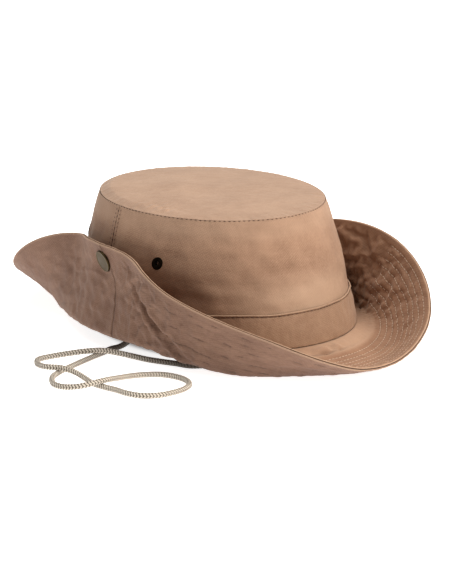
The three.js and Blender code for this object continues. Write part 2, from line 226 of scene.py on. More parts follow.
# Each crease pressed into the brim: its start and end as angle and share, its depth and its width.
CREASES = (
    (296, 0.72, 301.5, 0.4, 1.5, 2.4), (301, 0.66, 315, 0.44, 1.5, 3.6), (291, 0.74, 297.5, 0.55, 1.0, 2.2),
    (283.5, 0.93, 289, 0.82, 0.7, 1.8), (306, 0.5, 318, 0.34, 0.8, 3.0), (286, 0.55, 297, 0.56, 0.7, 2.2),
    (240, 0.6, 266, 0.66, 0.3, 1.6), (52, 0.58, 43.5, 0.96, 0.3, 1.4), (60, 0.42, 50, 0.6, 0.32, 1.6),
    (41, 0.99, 46, 0.72, 0.5, 1.8),
)


@dataclass(frozen=True)
class HatForm:
    """The sewn shape that every sub-assembly is laid on.

    Attributes:
        crown_height: From the crown's foot to the rim of the tip.
        tip_dome: Rise of the tip's middle above its rim.
        foot_height: The crown's foot above the surface that the hat stands on.
        lean: How far the crown leans at its top, in x and y.
        seams: The angles of the crown's left and right side seams.
        brim_width: From the seam at the crown's foot to the hem.
        row_pitch: The distance between quilting rows, and from the hem to the first.
        snaps: The angles of the left and right snap.
        snap_share: How far across the brim the snaps sit.
        brim_radius: The brim's usual radius, which turns degrees into mm.
        snap_radius: The same at the snaps.
        flare_from: The share of the width where the flare starts.
        shortest_bend: The least share of the width that a bend takes.
        settle: How softly the brim meets the standing surface.
        sum_steps: Steps in which the brim's tilt is summed up.
    """

    crown_height: float = 82.0
    tip_dome: float = 4.0
    foot_height: float = 9.0
    lean: tuple[float, float] = (-2.0, 1.4)
    seams: tuple[float, float] = (269.0, 89.0)
    brim_width: float = 62.0
    row_pitch: float = 5.1
    snaps: tuple[float, float] = (271.0, 90.0)
    snap_share: float = 0.81
    brim_radius: float = 120.0
    snap_radius: float = 118.0
    flare_from: float = 0.55
    shortest_bend: float = 0.08
    settle: float = 1.2
    sum_steps: int = 40

    def place(self, points: Array) -> Array:
        """Points in mm from the middle of the crown's foot, as points of the frame in metres."""
        low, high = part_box("hat_band")
        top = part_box("crown_tip")[1].z
        foot = top - (self.crown_height + self.tip_dome) * MM
        return points * MM + np.array([(low.x + high.x) / 2, (low.y + high.y) / 2, foot])

    def middle_of(self, node: str) -> tuple[Array, Array]:
        """The middle of a CAD node's box, in metres in the frame and in mm from the crown's foot."""
        middle = np.array(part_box(node)).mean(axis=0)
        return middle, (middle - self.place(np.zeros(3))) / MM

    def girth(self, angle: Array) -> Array:
        """Length in mm round the brim for an angle in degrees."""
        return np.radians(angle) * self.brim_radius

    def from_snap(self, angle: Array, share: Array, snap: float) -> Array:
        """Distance in mm along the brim to the snap at an angle."""
        up = (share - self.snap_share) * self.brim_width
        return np.hypot(np.radians(turn_between(angle, snap)) * self.snap_radius, up)

    def oval(self, table: Table, angle: Array, height: Array, out: Array = 0.0) -> Array:
        """A point of an oval: half width by sine, half length by cosine, moved by the crown's lean.

        Args:
            table: The ovals' half lengths and widths by height.
            angle: Degrees round the hat.
            height: Height above the crown's foot.
            out: How far outside the oval the point lies.

        Returns:
            Points in mm.
        """
        a = np.radians(angle)
        share = height / self.crown_height
        x = (table.at("half_width", height) + out) * np.sin(a) + self.lean[0] * share
        y = -(table.at("half_length", height) + out) * np.cos(a) + self.lean[1] * share
        return np.stack(np.broadcast_arrays(x, y, height + 0 * a), axis=-1)

    def wall_normal(self, angle: Array, height: Array) -> Array:
        """The crown wall's outward direction: its way round crossed with its way up."""
        angle, height = np.asarray(angle, float), np.asarray(height, float)
        around = self.oval(WALL, angle + 1, height) - self.oval(WALL, angle - 1, height)
        upward = self.oval(WALL, angle, height + 1) - self.oval(WALL, angle, height - 1)
        return unit(np.cross(around, upward))

    def brim_lower(self, angle: Array, share: Array) -> Array:
        """The brim's lower face: the tilt at each share is summed up along the cloth from its root.

        Args:
            angle: Degrees round the hat.
            share: Share of the brim's width, from 0 at the crown to 1 at the hem.

        Returns:
            Points in mm.
        """
        angle, share = np.asarray(angle, float), np.asarray(share, float)
        row = {name: BRIM.at(name, angle) for name in BRIM.names[1:]}

        def tilt(r: dict[str, Array], s: Array) -> Array:
            """The cloth's tilt in radians at share s."""
            span = np.maximum(r["end"] - r["start"], self.shortest_bend)
            bent = r["root"] + (r["hem"] - r["root"]) * smooth((s - r["start"]) / span)
            flare = smooth((s - self.flare_from) / (1.0 - self.flare_from))
            return np.radians(bent + r["flare"] * flare)

        middles = (np.arange(self.sum_steps) + 0.5) / self.sum_steps
        summed = tilt({k: v[..., None] for k, v in row.items()}, share[..., None] * middles)
        fold = sum(depth * bell(turn_between(angle, crest + turn * (share - middle)) / spread)
                   * bell((share - middle) / reach) for crest, middle, turn, spread, reach, depth in FOLDS)
        end = tilt(row, share)
        length = share * self.brim_width
        out = np.cos(summed).mean(-1) * length - np.sin(end) * fold
        up = np.sin(summed).mean(-1) * length + np.cos(end) * fold
        a, sweep = np.radians(angle), np.radians(row["sweep"])
        half_length, half_width = BAND.rows[0][1:]
        square = np.hypot(half_length * np.sin(a), half_width * np.cos(a))
        ox, oy = half_length * np.sin(a) / square, -half_width * np.cos(a) / square
        x = half_width * np.sin(a) + out * (ox * np.cos(sweep) - oy * np.sin(sweep))
        y = -half_length * np.cos(a) + out * (ox * np.sin(sweep) + oy * np.cos(sweep))
        above = row["rise"] + up + self.foot_height
        soft = np.square(np.clip(above + self.settle, 0, None)) / (4 * self.settle)
        above = np.where(above > self.settle, above, soft)
        return np.stack(np.broadcast_arrays(x, y, above - self.foot_height), axis=-1)

    def brim_normal(self, angle: Array, share: Array) -> Array:
        """Square to the brim, towards the crown: its way across crossed with its way round."""
        angle, share = np.asarray(angle, float), np.asarray(share, float)
        around = self.brim_lower(angle + 0.5, share) - self.brim_lower(angle - 0.5, share)
        across = self.brim_lower(angle, share + 0.01) - self.brim_lower(angle, share - 0.01)
        return unit(np.cross(across, around))


# ---- Meshes ----
def link(name: str, data: bpy.types.ID) -> bpy.types.Object:
    """Puts a new object with this data into the scene."""
    made = bpy.data.objects.new(name, data)
    bpy.context.scene.collection.objects.link(made)
    return made


def new_mesh(name: str, points: Array, loops: Array, sizes: Array) -> bpy.types.Mesh:
    """Makes a smooth mesh.

    Args:
        name: The mesh's name.
        points: Its points in metres.
        loops: The numbers of its faces' points, face after face.
        sizes: How many corners each face has.

    Returns:
        The new mesh.
    """
    mesh = bpy.data.meshes.new(name)
    mesh.vertices.add(points.size // 3)
    mesh.vertices.foreach_set("co", points.astype(np.float32).ravel())
    mesh.loops.add(loops.size)
    mesh.loops.foreach_set("vertex_index", loops.astype(np.int32).ravel())
    mesh.polygons.add(len(sizes))
    mesh.polygons.foreach_set("loop_start", (np.cumsum(sizes) - sizes).astype(np.int32))
    mesh.update(calc_edges=True)
    mesh.shade_smooth()
    return mesh


def lay_surface(name: str, grid: Array, uv: Array, marks: dict[str, Array], around: bool = True,
                section: bool = False, poles: bool = False, caps: bool = False) -> bpy.types.Object:
    """Makes a piece from a grid of points, with its faces turned outwards.

    Args:
        name: The piece's name.
        grid: Points in metres, rows round the piece by columns along its section.
        uv: The cloth's own coordinates in metres, one more row or column than grid where it closes.
        marks: Named values for the material, one for each point of the grid.
        around: Whether the last row joins the first.
        section: Whether the last column joins the first.
        poles: Whether the first and last column each close to one point.
        caps: Whether the first and last row are closed by strips between the section's two halves.

    Returns:
        The new object.
    """
    rows, columns = grid.shape[:2]
    number = np.arange(rows * columns).reshape(rows, columns)
    if poles:
        number[:, 0], number[:, -1] = number[0, 0], number[0, -1]
    over, beside = np.arange(rows if around else rows - 1), np.arange(columns if section else columns - 1)
    i, j = (part.ravel() for part in np.meshgrid(over, beside, indexing="ij"))
    steps = ((0, 0), (1, 0), (1, 1), (0, 1))
    corners = np.stack([number[(i + a) % rows, (j + b) % columns] for a, b in steps], axis=1)
    corner_uv = np.stack([uv[np.minimum(i + a, len(uv) - 1), np.minimum(j + b, uv.shape[1] - 1)]
                          for a, b in steps], axis=1)
    if caps:
        k = np.arange(columns // 2 - 1)
        for end, turn in ((0, 1), (rows - 1, -1)):
            strip = np.stack([number[end, q] for q in (k, k + 1, columns - 2 - k, columns - 1 - k)], axis=1)
            strip_uv = np.stack([uv[end, q] for q in (k, k + 1, k + 1, k)], axis=1)
            corners = np.concatenate([corners, strip[:, ::turn]])
            corner_uv = np.concatenate([corner_uv, strip_uv[:, ::turn]])
    used, corners = np.unique(corners, return_inverse=True)
    corners = corners.reshape(-1, 4)
    points = grid.reshape(-1, 3)[used]
    keep = corners != np.roll(corners, 1, axis=1)
    a, b, c, d = (points[corners[:, q]] for q in range(4))
    if (a * (np.cross(b, c) + np.cross(c, d))).sum() < 0:  # six times the volume
        corners, corner_uv, keep = corners[:, ::-1], corner_uv[:, ::-1], keep[:, ::-1]
    mesh = new_mesh(name, points, corners[keep], keep.sum(axis=1))
    mesh.uv_layers.new(name="cloth").data.foreach_set("uv", corner_uv[keep].astype(np.float32).ravel())
    for mark, values in marks.items():
        values = np.broadcast_to(values, (rows, columns)).ravel()[used]
        mesh.attributes.new(mark, "FLOAT", "POINT").data.foreach_set("value", values.astype(np.float32))
    mesh.validate()
    return link(name, mesh)


def flat_uv(along: Array, across: Array) -> Array:
    """The cloth's own coordinates in metres from lengths in mm along and across it."""
    return np.stack(np.broadcast_arrays(along, across), axis=-1) * MM


def closed_rows(values: Array) -> Array:
    """Row places round the hat with the first one added again a whole turn later, as a column."""
    return np.append(values, values[0] + 360.0)[:, None]


def lengths(points: Array) -> Array:
    """How long a line of points is up to each of them."""
    return np.concatenate([[0.0], np.cumsum(np.linalg.norm(np.diff(points, axis=0), axis=1))])


def read_at(places: Array, values: Array) -> Array:
    """Rows of three values, read at fractional row numbers."""
    return np.stack([np.interp(places, np.arange(len(values)), values[:, k]) for k in range(3)], axis=1)


def evenly(points: Array, pitch: float) -> Array:
    """Even places along a line of points, one in the middle of each pitch.

    Args:
        points: The line's points.
        pitch: The distance between places, in the points' unit.

    Returns:
        The places as fractional row numbers.
    """
    along = lengths(points)
    count = int(along[-1] / pitch)
    return np.interp((np.arange(count) + 0.5) * along[-1] / count, along, np.arange(len(along)))


def run_on(form: HatForm, line: Array, up: Array, pitch: float) -> tuple[Array, Array, Array]:
    """Places for stitches along a line of points in mm.

    Args:
        form: The hat's form, which places them in the frame.
        line: The line's points.
        up: The way out of the cloth at each point.
        pitch: The distance between stitches.

    Returns:
        Their middles in the frame, the ways that they run, and the ways out of the cloth.
    """
    at = evenly(line, pitch)
    return form.place(read_at(at, line)), read_at(at, np.gradient(line, axis=0)), read_at(at, up)


def sew(name: str, places: Array, along: Array, up: Array, length: float, radius: float,
        sink: float = 0.45) -> bpy.types.Object:
    """Lays a run of stitches, each a thread bowed out of the cloth: four rings of four points and two ends.

    Args:
        name: The piece's name.
        places: The stitches' middles in metres.
        along: The way that each stitch runs.
        up: The way out of the cloth at each stitch.
        length: A stitch's length in mm.
        radius: The thread's radius in mm.
        sink: How deep a stitch's ends dive into the cloth, in radii.

    Returns:
        The new object.
    """
    along, up = unit(along), unit(up)
    side = unit(np.cross(up, along))
    shift = np.array([-0.5, -0.42, -0.18, 0.18, 0.42, 0.5])
    thick = np.array([0.0, 0.6, 1.0, 1.0, 0.6, 0.0])
    bow = np.array([-sink - 0.6, -sink, 0.35, 0.35, -sink, -sink - 0.6])
    turn = np.arange(4) * np.pi / 2 + np.pi / 4
    keep = np.r_[0, np.arange(4, 20), 20]
    sizes = (np.repeat(shift, 4) * length,
             (np.repeat(bow, 4) + np.outer(thick, np.sin(turn)).ravel()) * radius,
             np.outer(thick, np.cos(turn)).ravel() * radius)
    points = places[:, None] + sum(way[:, None] * (size[keep] * MM)[None, :, None]
                                   for way, size in zip((along, up, side), sizes))
    k, after = np.arange(4), (np.arange(4) + 1) % 4
    ring = 1 + np.arange(3)[:, None] * 4
    quads = np.stack([ring + k, ring + after, ring + after + 4, ring + k + 4], axis=-1).reshape(-1, 4)
    fans = np.concatenate([np.stack([0 * k, 1 + after, 1 + k], axis=1),
                           np.stack([0 * k + 17, 13 + k, 13 + after], axis=1)])
    corners = np.concatenate([quads.ravel(), fans.ravel()])
    loops = corners[None] + (np.arange(len(places)) * len(keep))[:, None]
    return link(name, new_mesh(name, points, loops, np.tile(np.repeat([4, 3], [12, 8]), len(places))))


def rounded(profile: Array, times: int = 2) -> Array:
    """A profile with its corners cut, each cut a quarter of its two sides; the ends stay."""
    line = np.asarray(profile, float)
    for _ in range(times):
        a, b = line[:-1], line[1:]
        cut = np.stack([0.75 * a + 0.25 * b, 0.25 * a + 0.75 * b], axis=1).reshape(-1, 2)
        line = np.concatenate([line[:1], cut, line[-1:]])
    return line


def turned(name: str, profile: Array, place: Array, axis: Array, steps: int = 40, ring: bool = False,
           wear_and_painted_light: Array = 0.0) -> bpy.types.Object:
    """A turned piece: the profile's radius goes round its axis and its height goes along it.

    Args:
        name: The piece's name.
        profile: Radius and height in mm, from the foot on the axis round the outside to the top.
        place: Where the axis starts, in metres.
        axis: The axis's direction.
        steps: Points round the axis.
        ring: Whether the profile is a closed loop beside the axis.
        wear_and_painted_light: How worn each point of the profile is, and how much painted light it takes,
            for the material.

    Returns:
        The new object.
    """
    axis = unit(np.asarray(axis, float))
    side = unit(np.cross(axis, [0.31, 0.17, 0.93]))
    other = np.cross(axis, side)
    turn = np.arange(steps) * 2 * np.pi / steps
    radius, height = profile[:, 0] * MM, profile[:, 1] * MM
    round_it = np.cos(turn)[:, None] * side + np.sin(turn)[:, None] * other
    grid = place + round_it[:, None] * radius[None, :, None] + axis * height[None, :, None]
    run = lengths(profile)
    if ring:
        run = np.append(run, run[-1])
    uv = flat_uv(np.arange(steps + 1)[:, None] * 0.8, run[None])
    return lay_surface(name, grid, uv, {"wear_and_painted_light": wear_and_painted_light}, section=ring, poles=not ring)


def hand_over(piece: bpy.types.Object, slot: Slot, material: bpy.types.Material, *nodes: str) -> None:
    """Dresses a piece, says what body it rides on and what CAD nodes it stands for, and reports it.

    Args:
        piece: The finished piece.
        slot: Its material slot; not used.
        material: Its finish.
        *nodes: The CAD nodes that it stands for.
    """
    piece.data.materials.clear()
    piece.data.materials.append(material)
    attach(piece, BODY)
    if nodes:
        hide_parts(*nodes)
    LOG.info("%s: %d triangles", piece.name, sum(len(p.vertices) - 2 for p in piece.data.polygons))


# ---- Finishes ----
def linear(code: str) -> tuple[float, float, float, float]:
    """An sRGB hex colour as linear red, green, blue and alpha."""
    parts = np.array([int(code[i:i + 2], 16) for i in (1, 3, 5)]) / 255.0
    made = np.where(parts <= 0.04045, parts / 12.92, ((parts + 0.055) / 1.055) ** 2.4)
    return (*made.tolist(), 1.0)


WAVE_TURN = 0.314159  # the wave texture's period at a scale of 1
Socket = bpy.types.NodeSocket


class Recipe:
    """A material in the making, with short ways to add the usual nodes."""

    def __init__(self, name: str) -> None:
        """Starts a material with nothing but its shader."""
        self.material = bpy.data.materials.new(name)
        self.material.use_nodes = True
        self.tree = self.material.node_tree
        self.shader = self.tree.nodes["Principled BSDF"]

    def fill(self, node: bpy.types.Node, inputs: dict[str | int, object]) -> None:
        """Fills a node's inputs, given by name or number, with values or with other nodes' outputs."""
        for key, value in inputs.items():
            if isinstance(value, Socket):
                self.tree.links.new(value, node.inputs[key])
            else:
                node.inputs[key].default_value = value

    def add(self, kind: str, output: str | int, inputs: dict[str | int, object] | None = None,
            **settings: object) -> Socket:
        """Adds a node, sets its options and fills its inputs.

        Args:
            kind: The node's type, without its common first part.
            output: The name or number of the output that is wanted.
            inputs: Values or other nodes' outputs, by the input's name or number.
            **settings: Options by name.

        Returns:
            The wanted output.
        """
        made = self.tree.nodes.new("ShaderNode" + kind)
        for key, value in settings.items():
            setattr(made, key, value)
        self.fill(made, inputs or {})
        return made.outputs[output]

    def mark(self, name: str) -> Socket:
        """A named value of the piece's points."""
        return self.add("Attribute", "Fac", attribute_name=name)

    def space(self) -> Socket:
        """Places in the piece's own space, in metres."""
        return self.add("TexCoord", "Object")

    def cloth(self, scale: tuple[float, float, float], turn: float = 0.0) -> Socket:
        """Places on the cloth, stretched by the scale and turned by some degrees."""
        cloth = self.add("UVMap", "UV", uv_map="cloth")
        return self.add("Mapping", 0, {"Vector": cloth, "Rotation": (0, 0, np.radians(turn)), "Scale": scale})

    def noise(self, place: Socket, scale: float, detail: float = 2.0, roughness: float = 0.5) -> Socket:
        """Soft random noise from 0 to 1."""
        return self.add("TexNoise", "Fac", {"Vector": place, "Scale": scale, "Detail": detail,
                                            "Roughness": roughness})

    def weigh(self, parts: list[tuple[Socket, float]], base: float) -> Socket:
        """A base value plus each part times its weight, kept between 0 and 1.

        Args:
            parts: The parts with their weights.
            base: The base value.

        Returns:
            The sum.
        """
        total: object = base
        for k, (part, weight) in enumerate(parts):
            total = self.add("Math", 0, {0: part, 1: weight, 2: total}, operation="MULTIPLY_ADD",
                             use_clamp=k == len(parts) - 1)
        return total

    def tint(self, share: Socket, under: str | Socket, over: str | Socket) -> Socket:
        """A colour that goes from under to over, each a hex code or an output, as the share goes to 1."""
        under, over = (linear(one) if isinstance(one, str) else one for one in (under, over))
        return self.add("Mix", 2, {0: share, 6: under, 7: over}, data_type="RGBA")

    def bump(self, height: Socket, rise: float, strength: float = 1.0, under: Socket | None = None) -> Socket:
        """A normal bent by a height of up to rise mm, on top of another normal if one is given."""
        inputs = {"Strength": strength, "Distance": rise * MM, "Height": height}
        return self.add("Bump", 0, inputs if under is None else {**inputs, "Normal": under})

    def done(self, colour: Socket, normal: Socket, **inputs: object) -> bpy.types.Material:
        """Fills the shader, whose further inputs are named with _ for a space, and gives the material."""
        self.fill(self.shader, {"Base Color": colour, "Normal": normal})
        self.fill(self.shader, {key.replace("_", " "): value for key, value in inputs.items()})
        return self.material


@dataclass(frozen=True)
class Finish:
    """What every finish has.

    Attributes:
        name: The finish's name.
        deep: Its darker colour, down between ribs and plies, and painted shade between a braid's strands.
        pale: Its lighter colour.
    """

    name: str
    deep: str
    pale: str


@dataclass(frozen=True)
class WovenCotton(Finish):
    """Cotton twill, garment-washed: a soft matt cloth with diagonal ribs and slubs, worn paler on raised
    edges, with painted light and painted shade from the pieces' marks.

    Attributes:
        crease: The colour of the painted shade, laid in seams, stitch lines, tucks and shaded hollows.
        wear_and_light_colour: The colour of wear along folded edges and hems, and of painted light on faces
            that take more light.
        rib: The pitch of the twill ribs in mm. Real ribs are 0.5 mm apart; these are drawn coarser to show.
        rib_height: The ribs' height in mm.
        weave: How strongly the ribs show in the colour.
        mottle: How strongly the wash varies from place to place.
        roughness: How matt the cloth is.
        sheen: How much the fibres' nap catches light from the side.
    """

    crease: str
    wear_and_light_colour: str
    rib: float = 1.25
    rib_height: float = 0.07
    weave: float = 0.3
    mottle: float = 1.0
    roughness: float = 0.85
    sheen: float = 0.3

    def material(self) -> bpy.types.Material:
        """Builds the finish: colour from wash, slubs and ribs, with painted shade and painted light from the
        piece's marks, and bump from ribs, fibres and crinkles.
        """
        mix = Recipe(self.name)
        ribs = [mix.add("TexWave", "Fac", {
            "Vector": mix.cloth((1000, 1000, 1000), turn), "Scale": WAVE_TURN / self.rib,
            "Distortion": 3.2, "Detail": 1.0, "Detail Scale": 0.9}) for turn in (58.0, -32.0)]
        in_mm = mix.cloth((1000, 1000, 1000))
        slub = mix.noise(mix.cloth((45, 900, 1)), 1.0)
        fibre = mix.noise(in_mm, 1.4, 3.0, 0.6)
        crinkle = mix.noise(in_mm, 0.16, 3.0, 0.55)
        wash = mix.noise(mix.space(), 44.0, 4.0, 0.6)
        speck = mix.noise(in_mm, 0.75, 1.0)
        parts = [(wash, self.mottle), (slub, 0.3), (ribs[0], self.weave), (ribs[1], self.weave * 0.8),
                 (fibre, 0.5), (speck, 0.7), (crinkle, 0.5)]
        tone = mix.weigh(parts, 0.5 - 0.5 * sum(weight for _, weight in parts))
        colour = mix.tint(tone, self.deep, self.pale)
        # Painted shade in the crease colour, then wear and painted light in the paler colour, each by the
        # piece's own mark.
        for name, hue in (("painted_shade", self.crease), ("wear_and_painted_light", self.wear_and_light_colour)):
            colour = mix.tint(mix.mark(name), colour, hue)
        woven = mix.weigh([(ribs[0], 0.6), (ribs[1], 0.4)], 0.0)
        normal = mix.bump(crinkle, 0.5)
        for height, rise in ((woven, self.rib_height), (fibre, 0.06)):
            normal = mix.bump(height, rise, under=normal)
        return mix.done(colour, normal, Roughness=self.roughness, Specular_IOR_Level=0.35,
                        Sheen_Weight=self.sheen, Sheen_Roughness=0.45, Sheen_Tint=linear("#f4ece2"))


@dataclass(frozen=True)
class SpunThread(Finish):
    """Spun polyester sewing thread, twisted: slightly glossy, with fine slanting plies."""

    def material(self) -> bpy.types.Material:
        """Builds the finish from fine noise, as a thread is thinner than its plies could show."""
        mix = Recipe(self.name)
        space = mix.space()
        plies, patch = mix.noise(space, 2600.0), mix.noise(space, 120.0)
        tone = mix.weigh([(plies, 0.6), (patch, 0.8)], -0.2)
        return mix.done(mix.tint(tone, self.deep, self.pale), mix.bump(plies, 0.05, 0.6), Roughness=0.6)


@dataclass(frozen=True)
class AntiqueBrass(Finish):
    """Brass, stamped and chemically browned: a dull dark metal, rubbed brighter on raised edges.

    Attributes:
        roughness: How dull the metal is.
    """

    roughness: float = 0.42

    def material(self) -> bpy.types.Material:
        """Builds the finish: patina in soft patches, rubbed edges, and fine tumbling marks as bump."""
        mix = Recipe(self.name)
        space = mix.space()
        patch, grain = mix.noise(space, 260.0, 4.0, 0.65), mix.noise(space, 1800.0)
        tone = mix.weigh([(patch, 0.9), (grain, 0.3), (mix.mark("wear_and_painted_light"), 0.5)], -0.35)
        return mix.done(mix.tint(tone, self.deep, self.pale), mix.bump(grain, 0.04, 0.5), Metallic=1.0,
                        Roughness=mix.weigh([(patch, 0.3), (grain, 0.1)], self.roughness - 0.2))


@dataclass(frozen=True)
class BraidedCotton(Finish):
    """Round sash braid of cotton yarn: pale matt strands crossing in chevrons, with painted shade between
    them.

    Attributes:
        shade: The colour of the darker yarns.
        painted_end_shade: The colour of the painted shade at the ends, where the hat's shadow falls on the
            cord.
    """

    shade: str
    painted_end_shade: str

    def material(self) -> bpy.types.Material:
        """Builds the finish from the strands' own height and from fine yarn fibres, with painted shade
        between the strands, on the sides seen edge-on and at the ends.
        """
        mix = Recipe(self.name)
        in_mm = mix.cloth((1000, 1000, 1000))
        fibre, patch = mix.noise(in_mm, 2.4), mix.noise(in_mm, 0.12)
        yarn = mix.tint(mix.weigh([(patch, 0.8), (fibre, 0.5)], -0.15), self.shade, self.pale)
        # Painted shade: the deep colour between the strands, more where the cord is seen edge-on.
        edge = mix.add("LayerWeight", "Facing", {"Blend": 0.4})
        depth = mix.weigh([(mix.mark("strand"), 2.9), (edge, -0.7)], -1.15)
        # Painted shade at the ends, where the hat's shadow falls on the cord.
        painted_shade_ends = mix.weigh([(mix.mark("painted_end_shade"), 0.9)], 0.0)
        colour = mix.tint(painted_shade_ends, mix.tint(depth, self.deep, yarn), self.painted_end_shade)
        return mix.done(colour, mix.bump(fibre, 0.08, 0.8), Roughness=0.85, Sheen_Weight=0.15)


# ---- Sub-assemblies ----
@dataclass
class ChinCord:
    """The braided chin cord: one loop from anchor to anchor, laid loose beside the hat.

    Attributes:
        form: The hat's sewn shape.
        route: The points that the cord's middle passes, in mm in the frame.
        radius: The cord's radius.
        strands: Columns of stitches round the cord, an even number.
        pitch: The length of one stitch with its gap, drawn long so that it shows.
        slant: How many stitches a column's slant spans.
        relief: How far the strands stand up, as a share of the radius.
        sides: Points round the cord.
        step: Distance between rings.
        end_turn: The length at each end in which the cord bends to the level.
        painted_shade_ends: The length at each end that is painted darker, as the hat's shadow falling on the
            cord near its anchors.
        anchor_size: Width, height and thickness of the tab sewn over each end.
        finish: The braid's finish.
    """

    form: HatForm
    route: tuple[tuple[float, float, float], ...] = (
        (-88.7, -23.5, 14), (-88.9, -23.1, 9.4), (-91, -19.6, 5.2), (-94.4, -16.8, 2.8), (-98.9, -15.3, 2),
        (-108.1, -20.4, 2), (-117.6, -25.1, 2), (-127.1, -29.8, 2), (-136.4, -34.7, 2), (-145.7, -39.6, 2),
        (-154.9, -44.9, 2), (-163.3, -51.3, 2), (-169.5, -59.8, 2), (-172.9, -69.7, 2.1),
        (-170.8, -79.9, 2.7), (-164, -87.5, 4.2), (-153.7, -89, 5.6), (-143.5, -86.8, 5.2),
        (-134.3, -82, 3.5), (-124.3, -78.8, 2.4), (-113.9, -79.9, 2), (-105, -85.3, 2), (-100, -94.5, 2),
        (-98.9, -105, 2), (-102.7, -114.7, 2), (-110.8, -121.3, 2), (-120.9, -124.3, 2), (-131.4, -124.6, 2),
        (-140.7, -119.7, 2), (-145.4, -110.4, 2), (-147.1, -100, 2), (-149.8, -89.9, 2),
        (-151.6, -79.6, 2.1), (-150.8, -69.1, 2.7), (-151.9, -58.7, 4.3), (-156, -49.2, 5.6),
        (-161.4, -40.5, 5.1), (-160.3, -30.1, 3.5), (-157, -20.2, 2.3), (-150.7, -11.9, 2),
        (-140.6, -11.9, 2.5), (-131, -16.2, 3.8), (-122.7, -22.4, 5.4), (-113.1, -26.8, 5.5),
        (-104.5, -32.6, 3.9), (-98, -40.8, 2.6), (-93.3, -50.2, 2), (-88.5, -59.6, 2), (-83.2, -68.7, 2),
        (-78.2, -78.1, 2), (-62, -84.5, 2), (-38, -86, 2), (-8, -81, 2), (25, -66, 2), (51, -45, 2),
        (62, -33, 2.5), (67.6, -26.2, 5), (69.5, -23.5, 8.9), (69.7, -23.5, 14),
    )
    radius: float = 1.8
    strands: int = 6
    pitch: float = 1.95
    slant: float = 0.65
    relief: float = 0.2
    sides: int = 44
    step: float = 0.345
    end_turn: float = 14.0
    painted_shade_ends: tuple[float, float] = (40.0, 246.0)
    anchor_size: tuple[float, float, float] = (12.0, 9.0, 3.0)
    # The deep colour is painted shade between the strands; the last colour is painted shade for the ends.
    finish: BraidedCotton = BraidedCotton("braided_cotton_cord", "#564a3d", "#ebe2d4", "#cabeac", "#352b22")

    def middle_line(self) -> Array:
        """The cord's middle in mm: a centripetal Catmull-Rom curve through the route, in even steps."""
        p = np.array(self.route, float)
        p = np.concatenate([[2 * p[0] - p[1]], p, [2 * p[-1] - p[-2]]])
        p0, p1, p2, p3 = p[:-3], p[1:-2], p[2:-1], p[3:]
        d0, d1, d2 = (np.sqrt(np.linalg.norm(b - a, axis=1, keepdims=True))
                      for a, b in ((p0, p1), (p1, p2), (p2, p3)))
        start = ((p1 - p0) / d0 - (p2 - p0) / (d0 + d1) + (p2 - p1) / d1) * d1
        end = ((p2 - p1) / d1 - (p3 - p1) / (d1 + d2) + (p3 - p2) / d2) * d1
        t = np.linspace(0, 1, 60, endpoint=False)[None, :, None]
        c0, c1 = p1[:, None], start[:, None]
        c2 = (3 * p2 - 3 * p1 - 2 * start - end)[:, None]
        c3 = (2 * p1 - 2 * p2 + start + end)[:, None]
        line = np.concatenate([(((c3 * t + c2) * t + c1) * t + c0).reshape(-1, 3), p2[-1:]])
        run = lengths(line)
        at = np.linspace(0, run[-1], int(run[-1] / self.step) + 1)
        return np.stack([np.interp(at, run, line[:, k]) for k in range(3)], axis=1)

    def braid(self, turns: Array, run: Array) -> Array:
        """How high the braid stands, from 0 to 1: columns of stitches lean left and right by turns.

        Each column's stitches slant across it, and two neighbours lean opposite ways, so they meet in
        chevrons. A stitch rises by a sine along the cord, and its column by a sine across.

        Args:
            turns: Turns round the cord.
            run: Lengths along the cord in mm.

        Returns:
            The height at each place.
        """
        column = self.strands * turns
        lean = np.where(np.mod(np.floor(column), 2) < 1, self.slant, -self.slant)
        across = np.mod(column, 1)
        along = np.mod(run / self.pitch + lean * (across - 0.5), 1)
        return np.sin(np.pi * along) ** 0.8 * (0.6 + 0.4 * np.sin(np.pi * across) ** 0.5)

    def build(self) -> None:
        """Makes the cord: round its middle goes a ring whose radius rises where a strand lies on top."""
        line = self.middle_line()
        run = lengths(line)
        total = run[-1]
        way = unit(np.gradient(line, axis=0))
        level = smooth(run / self.end_turn)[:, None] * smooth((total - run) / self.end_turn)[:, None]
        route = np.array(self.route)
        first, last = (unit((route[b] - route[a]) * [1, 1, 0]) for a, b in ((1, 3), (-1, -3)))
        aside = np.where((run > total / 2)[:, None], last, first)
        upward = level * np.array([0, 0, 1.0]) + (1 - level) * aside
        upward = unit(upward - (upward * way).sum(-1, keepdims=True) * way)
        sideways = np.cross(way, upward)
        turn = np.arange(self.sides) * 2 * np.pi / self.sides
        strand = self.braid(turn[:, None] / (2 * np.pi), run[None])
        girth = self.radius * (1 + self.relief * (np.sqrt(strand) - 0.75))
        girth[:, [0, -1]] = 0.0
        ring = np.cos(turn)[:, None, None] * sideways[None] + np.sin(turn)[:, None, None] * upward[None]
        grid = line[None] + ring * girth[..., None]
        grid[..., 2] = np.maximum(grid[..., 2], 0.0)
        around = np.append(turn, 2 * np.pi) * self.radius
        # Painted shade on the cord's ends, where the hat's shadow falls.
        painted_end_shade = np.maximum(smooth((self.painted_shade_ends[0] - run) / 14), smooth((run - total + self.painted_shade_ends[1]) / 70))
        cord = lay_surface("chin_cord_braid", grid * MM, flat_uv(run[None], around[:, None]),
                           {"strand": strand, "painted_end_shade": painted_end_shade[None]}, poles=True)
        hand_over(cord, Slot.CORD, self.finish.material(), "chin_cord")

    def outline(self, turn: Array) -> tuple[Array, Array]:
        """A tab's outline, a superellipse: its full width by cosine and its full height by sine."""
        corner = (np.abs(np.cos(turn)) ** 8 + np.abs(np.sin(turn)) ** 8) ** (-1 / 8)
        return corner * np.cos(turn) * self.anchor_size[0], corner * np.sin(turn) * self.anchor_size[1]

